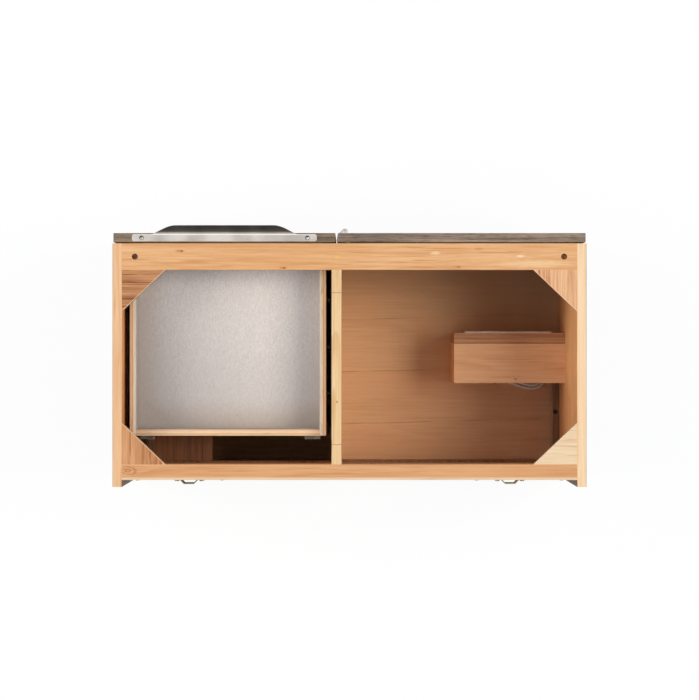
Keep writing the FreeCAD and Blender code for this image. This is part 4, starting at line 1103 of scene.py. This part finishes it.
# The warm tint of the white plastic and the cord jacket is painted light: warm bounce from the wood.
white_plastic = finish("white_plastic", moulded, paint(250, 238, 224), paint(242, 229, 214), 201, 0.32)
tie_finish = finish("tie_strap", moulded, paint(52, 52, 54), paint(40, 40, 42), 221, 0.5)
cord_jacket = finish("cord_jacket", moulded, paint(252, 240, 226), paint(242, 229, 214), 241, 0.4)
cord_curve.materials.append(cord_jacket)
dress(white_plastic, "outlet_faceplate", "cord_plug", "strain_relief")
dress(tie_finish, "cord_tie")
dress(finish("socket_plastic", moulded, paint(176, 164, 152), paint(164, 152, 140), 206, 0.36),
      "outlet_sockets")
dress(finish("grey_plastic", moulded, paint(120, 122, 124), paint(108, 110, 112), 211, 0.4),
      "outlet_housing")
dress(finish("bumper_rubber", moulded, paint(158, 124, 94), paint(144, 112, 84), 231, 0.45),
      "door_bumpers")
print("dressed", len(dressed), "nodes; not dressed:", sorted(set(nodes) - dressed))

# %% [markdown]
# ## Small pieces as surfaces
# Screw heads, the plug, its ribbed sleeve and the strap are round or softly moulded, which a few
# flat facets can't show. Each is worked out as a surface of two numbers: how far along a
# profile, and how far round it. One array holds all the points of such a grid, and the faces
# join each point to its neighbours; the last column joins the first again. The ends are capped,
# or joined to each other where the piece is a ring.

# %% Meshes from grids of points
crease_angle = math.radians(40)


def grid_faces(rows, columns, start, ring):
    """Quads between neighbours, closed round the columns, and round the rows or by two caps."""
    index = start + np.arange(rows * columns).reshape(rows, columns)
    if ring:
        index = np.concatenate((index, index[:1]))
    beside = np.roll(index, -1, axis=1)
    quads = np.stack((index[:-1], index[1:], beside[1:], beside[:-1]), axis=-1).reshape(-1, 4).tolist()
    caps = [] if ring else [index[0].tolist(), index[-1, ::-1].tolist()]
    return quads + caps


def new_piece(name, grids, material, body, replaced, ring=False):
    """Smooth mesh from closed grids; it rides on a body and stands for a CAD node."""
    points, faces, start = [], [], 0
    for grid in grids:
        rows, columns = grid.shape[:2]
        points.append(grid.reshape(-1, 3))
        faces += grid_faces(rows, columns, start, ring)
        start += rows * columns
    mesh = bpy.data.meshes.new(name)
    mesh.from_pydata(np.concatenate(points).tolist(), [], faces)
    mesh.shade_smooth()
    mesh.set_sharp_from_angle(angle=crease_angle)
    mesh.materials.append(material)
    piece = bpy.data.objects.new(name, mesh)
    scene.collection.objects.link(piece)
    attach(piece, body)
    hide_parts(replaced)
    print(name, "has", start, "points")
    return piece


def round_angles(columns):
    """Angles once round, without the last one again."""
    return np.linspace(0.0, 2 * np.pi, columns, endpoint=False)


def turned(radius, height, columns=64):
    """Surface of revolution: each row of radius and height goes once round the Z axis."""
    angle = round_angles(columns)
    x = radius[:, None] * np.cos(angle)
    y = radius[:, None] * np.sin(angle)
    return np.stack((x, y, np.broadcast_to(height[:, None], x.shape)), axis=-1)


def placed(grid, origin, x_axis, y_axis, z_axis):
    """Grid made in its own axes, set at an origin with its axes along the given directions."""
    return np.array(origin) + grid @ np.array((x_axis, y_axis, z_axis))


# %% [markdown]
# ## Screws of the pulls
# Each pull is held by two screws with raised countersunk heads and a cross recess. Cutting the
# cross out with a boolean would leave ragged edges, so the head is one surface: a flat dome
# whose recess sinks wherever a point lies close to one of the two arms' middle lines. Below the
# rim the profile goes on as cone and shank.

# %% One screw as a surface
screw_dome = 0.0010
screw_rim_drop = 0.0002
screw_cone_drop = 0.0015
screw_shank = 0.0016
screw_point = 0.00002
screw_tip_length = 0.003
recess_arm = 0.0022
recess_half_width = 0.0006
recess_depth = 0.0013
recess_soft = 0.0002


def screw_grid(head_radius, length, turn):
    """Height of the head: dome * (1 - (r / R)^2), less the recess; then a cone and a shank."""
    head = np.linspace(0.01, 1.0, 30) * head_radius
    radius = np.r_[head, head_radius, screw_shank, screw_shank, screw_point]
    dome = screw_dome * (1 - (head / head_radius) ** 2)
    height = np.r_[dome, -screw_rim_drop, -screw_cone_drop, screw_tip_length - length, -length]
    grid = turned(radius, height, 96)
    x, y = grid[..., 0], grid[..., 1]
    arm_x = x * math.cos(turn) + y * math.sin(turn)
    arm_y = y * math.cos(turn) - x * math.sin(turn)
    off_arm = np.minimum(abs(arm_x), abs(arm_y))
    sunk = np.clip((recess_half_width - off_arm) / recess_soft + 0.5, 0, 1)
    sunk = sunk * np.clip((recess_arm - np.hypot(x, y)) / recess_soft + 0.5, 0, 1)
    sunk[len(head):] = 0.0
    grid[..., 2] -= sunk * recess_depth
    return grid


print("recess of", 2 * recess_arm, "m across and", recess_depth, "m deep")

# %% Set the screws
screw_steel = finish("screw_steel", zinc_plate, paint(214, 210, 204), paint(186, 181, 175), 166, 0.16)
x_axis, y_axis, z_axis = np.eye(3)
for level, turns in (("upper", (0.5, 1.1)), ("lower", (0.2, 0.9))):
    node = level + "_pull_screws"
    low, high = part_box(node)
    head_radius = (high[1] - low[1]) / 2
    middle_y = (low[1] + high[1]) / 2
    grids = [placed(screw_grid(head_radius, high[2] - low[2], turn), (x, middle_y, high[2]),
                    x_axis, y_axis, z_axis)
             for x, turn in zip((low[0] + head_radius, high[0] - head_radius), turns)]
    new_piece(level + "_cross_screws", grids, screw_steel, level + "_drawer", node)

low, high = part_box("door_pull_screws")
head_radius = (high[1] - low[1]) / 2
middle_y = (low[1] + high[1]) / 2
grids = [placed(screw_grid(head_radius, high[0] - low[0], turn), (high[0], middle_y, z),
                -z_axis, y_axis, x_axis)
         for z, turn in zip((low[2] + head_radius, high[2] - head_radius), (0.7, 0.3))]
new_piece("door_cross_screws", grids, screw_steel, "door", "door_pull_screws")

# %% [markdown]
# ## Sleeve of the cord
# Where the cord leaves the outlet, a ribbed sleeve keeps it from kinking. Rings could be set on
# a cone one by one. As a turned surface it needs only a profile: a rounded collar, then a
# radius that falls from top to bottom, with ribs cut by a wave.

# %% Ribbed sleeve
sleeve_length = 0.028
ribbed_length = 0.0248
sleeve_neck = 0.0058
sleeve_taper = 0.002
sleeve_bore = 0.0031
collar_height = 0.003
rib_count = 7
rib_share = 0.14
rib_end = 0.97

low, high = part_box("strain_relief")
sleeve_origin = (low[0] + high[0]) / 2, (low[1] + high[1]) / 2, high[2]
share = np.linspace(0.0, 1.0, 120)
rib_wave = np.clip(np.cos(share * 2 * np.pi * rib_count), 0, 1)
ribs = 1 - rib_share * rib_wave * (share < rib_end)
collar = np.array((0.00002, 0.0072, 0.008, 0.008, 0.0072, sleeve_neck))
collar_drop = np.array((0.0, 0.0, 0.0008, 0.0022, collar_height, collar_height))
radius = np.r_[collar, (sleeve_neck - sleeve_taper * share) * ribs, sleeve_bore]
height = -np.r_[collar_drop, collar_height + share * ribbed_length, sleeve_length]
sleeve_grid = placed(turned(radius, height), sleeve_origin, x_axis, y_axis, z_axis)
sleeve = new_piece("ribbed_sleeve", [sleeve_grid], white_plastic, "carcass",
                   "strain_relief")

# %% [markdown]
# ## Plug
# The plug is moulded round the cord. It could be a block with rounded edges, but a moulded body
# has no flat start: its section grows from a round, ringed neck to a soft rectangle. That is a
# superellipse whose power grows along the way, and the far end is rounded and closed.

# %% Moulded plug
plug_length = 0.034
plug_neck = 0.0044
plug_flare_width = 0.0075
plug_flare_height = 0.0065
plug_flare_start = 0.16
plug_flare_end = 0.4
plug_neck_power = 2.2
plug_power_gain = 2.0
plug_ring_count = 22
plug_ring_share = 0.1
plug_ring_end = 0.18
plug_round_start = 0.94
plug_round_span = 0.07


def soft_step(value, low, high):
    """Smooth step from 0 at low to 1 at high."""
    share = np.clip((value - low) / (high - low), 0, 1)
    return share * share * (3 - 2 * share)


def oval(angle, half_width, half_height, power):
    """Superellipse: cosine and sine with their sizes raised to the power 2 / power."""
    across = np.sign(np.cos(angle)) * abs(np.cos(angle)) ** (2 / power) * half_width
    up = np.sign(np.sin(angle)) * abs(np.sin(angle)) ** (2 / power) * half_height
    return across, up


share = np.r_[np.linspace(0.0, plug_round_start, 90), 0.96, 0.98, 0.992, 1.0, 1.0, 1.0]
flare = soft_step(share, plug_flare_start, plug_flare_end)[:, None]
ring_wave = np.clip(np.cos(share * 2 * np.pi * plug_ring_count), 0, 1)
rings = 1 - plug_ring_share * ring_wave * (share < plug_ring_end)
rounding = np.sqrt(1 - np.clip((share - plug_round_start) / plug_round_span, 0, 1) ** 2)
closing = np.r_[np.ones(len(share) - 2), 0.5, 0.002]
scale = (rings * rounding * closing)[:, None]
across, up = oval(round_angles(72)[None, :], (plug_neck + plug_flare_width * flare) * scale,
                  (plug_neck + plug_flare_height * flare) * scale,
                  plug_neck_power + plug_power_gain * flare)
along = np.broadcast_to((share * plug_length)[:, None], across.shape)
plug_grid = placed(np.stack((along, across, up), axis=-1), plug_seat, hank_along, hank_across, z_axis)
plug = new_piece("moulded_plug", [plug_grid], white_plastic, "carcass", "cord_plug")

# %% [markdown]
# ## Strap
# A flat strap ties the hank beside its waist. A bent box would have a seam, so the strap is a
# thin rounded section carried round a long superellipse, always square to the way it goes, and
# joined to its own start.

# %% Strap round the hank
strap_thick = 0.001
strap_half_width = 0.005
strap_half_reach = 0.0306
strap_from_waist = 0.018
strap_points = 160
section_points = 24
strap_power = 3.2
band_power = 6.0

low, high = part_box("cord_tie")
strap_origin = hank_waist - hank_along * strap_from_waist
strap_origin[2] = (low[2] + high[2]) / 2
strap_half = np.array((strap_half_reach, (high[2] - low[2]) / 2 - strap_thick / 2))
angle = round_angles(strap_points)
across, up = oval(angle, *strap_half, strap_power)
outward = np.stack((np.cos(angle) * strap_half[1], np.sin(angle) * strap_half[0]), axis=-1)
outward /= np.linalg.norm(outward, axis=-1, keepdims=True)
band_along, band_out = oval(-round_angles(section_points), strap_half_width, strap_thick / 2,
                            band_power)
strap_grid = np.stack((np.broadcast_to(band_along[:, None], (section_points, strap_points)),
                       across + band_out[:, None] * outward[:, 0],
                       up + band_out[:, None] * outward[:, 1]), axis=-1)
strap_grid = placed(strap_grid, strap_origin, hank_along, hank_across, z_axis)
strap = new_piece("hank_strap", [strap_grid], tie_finish, "carcass", "cord_tie", ring=True)
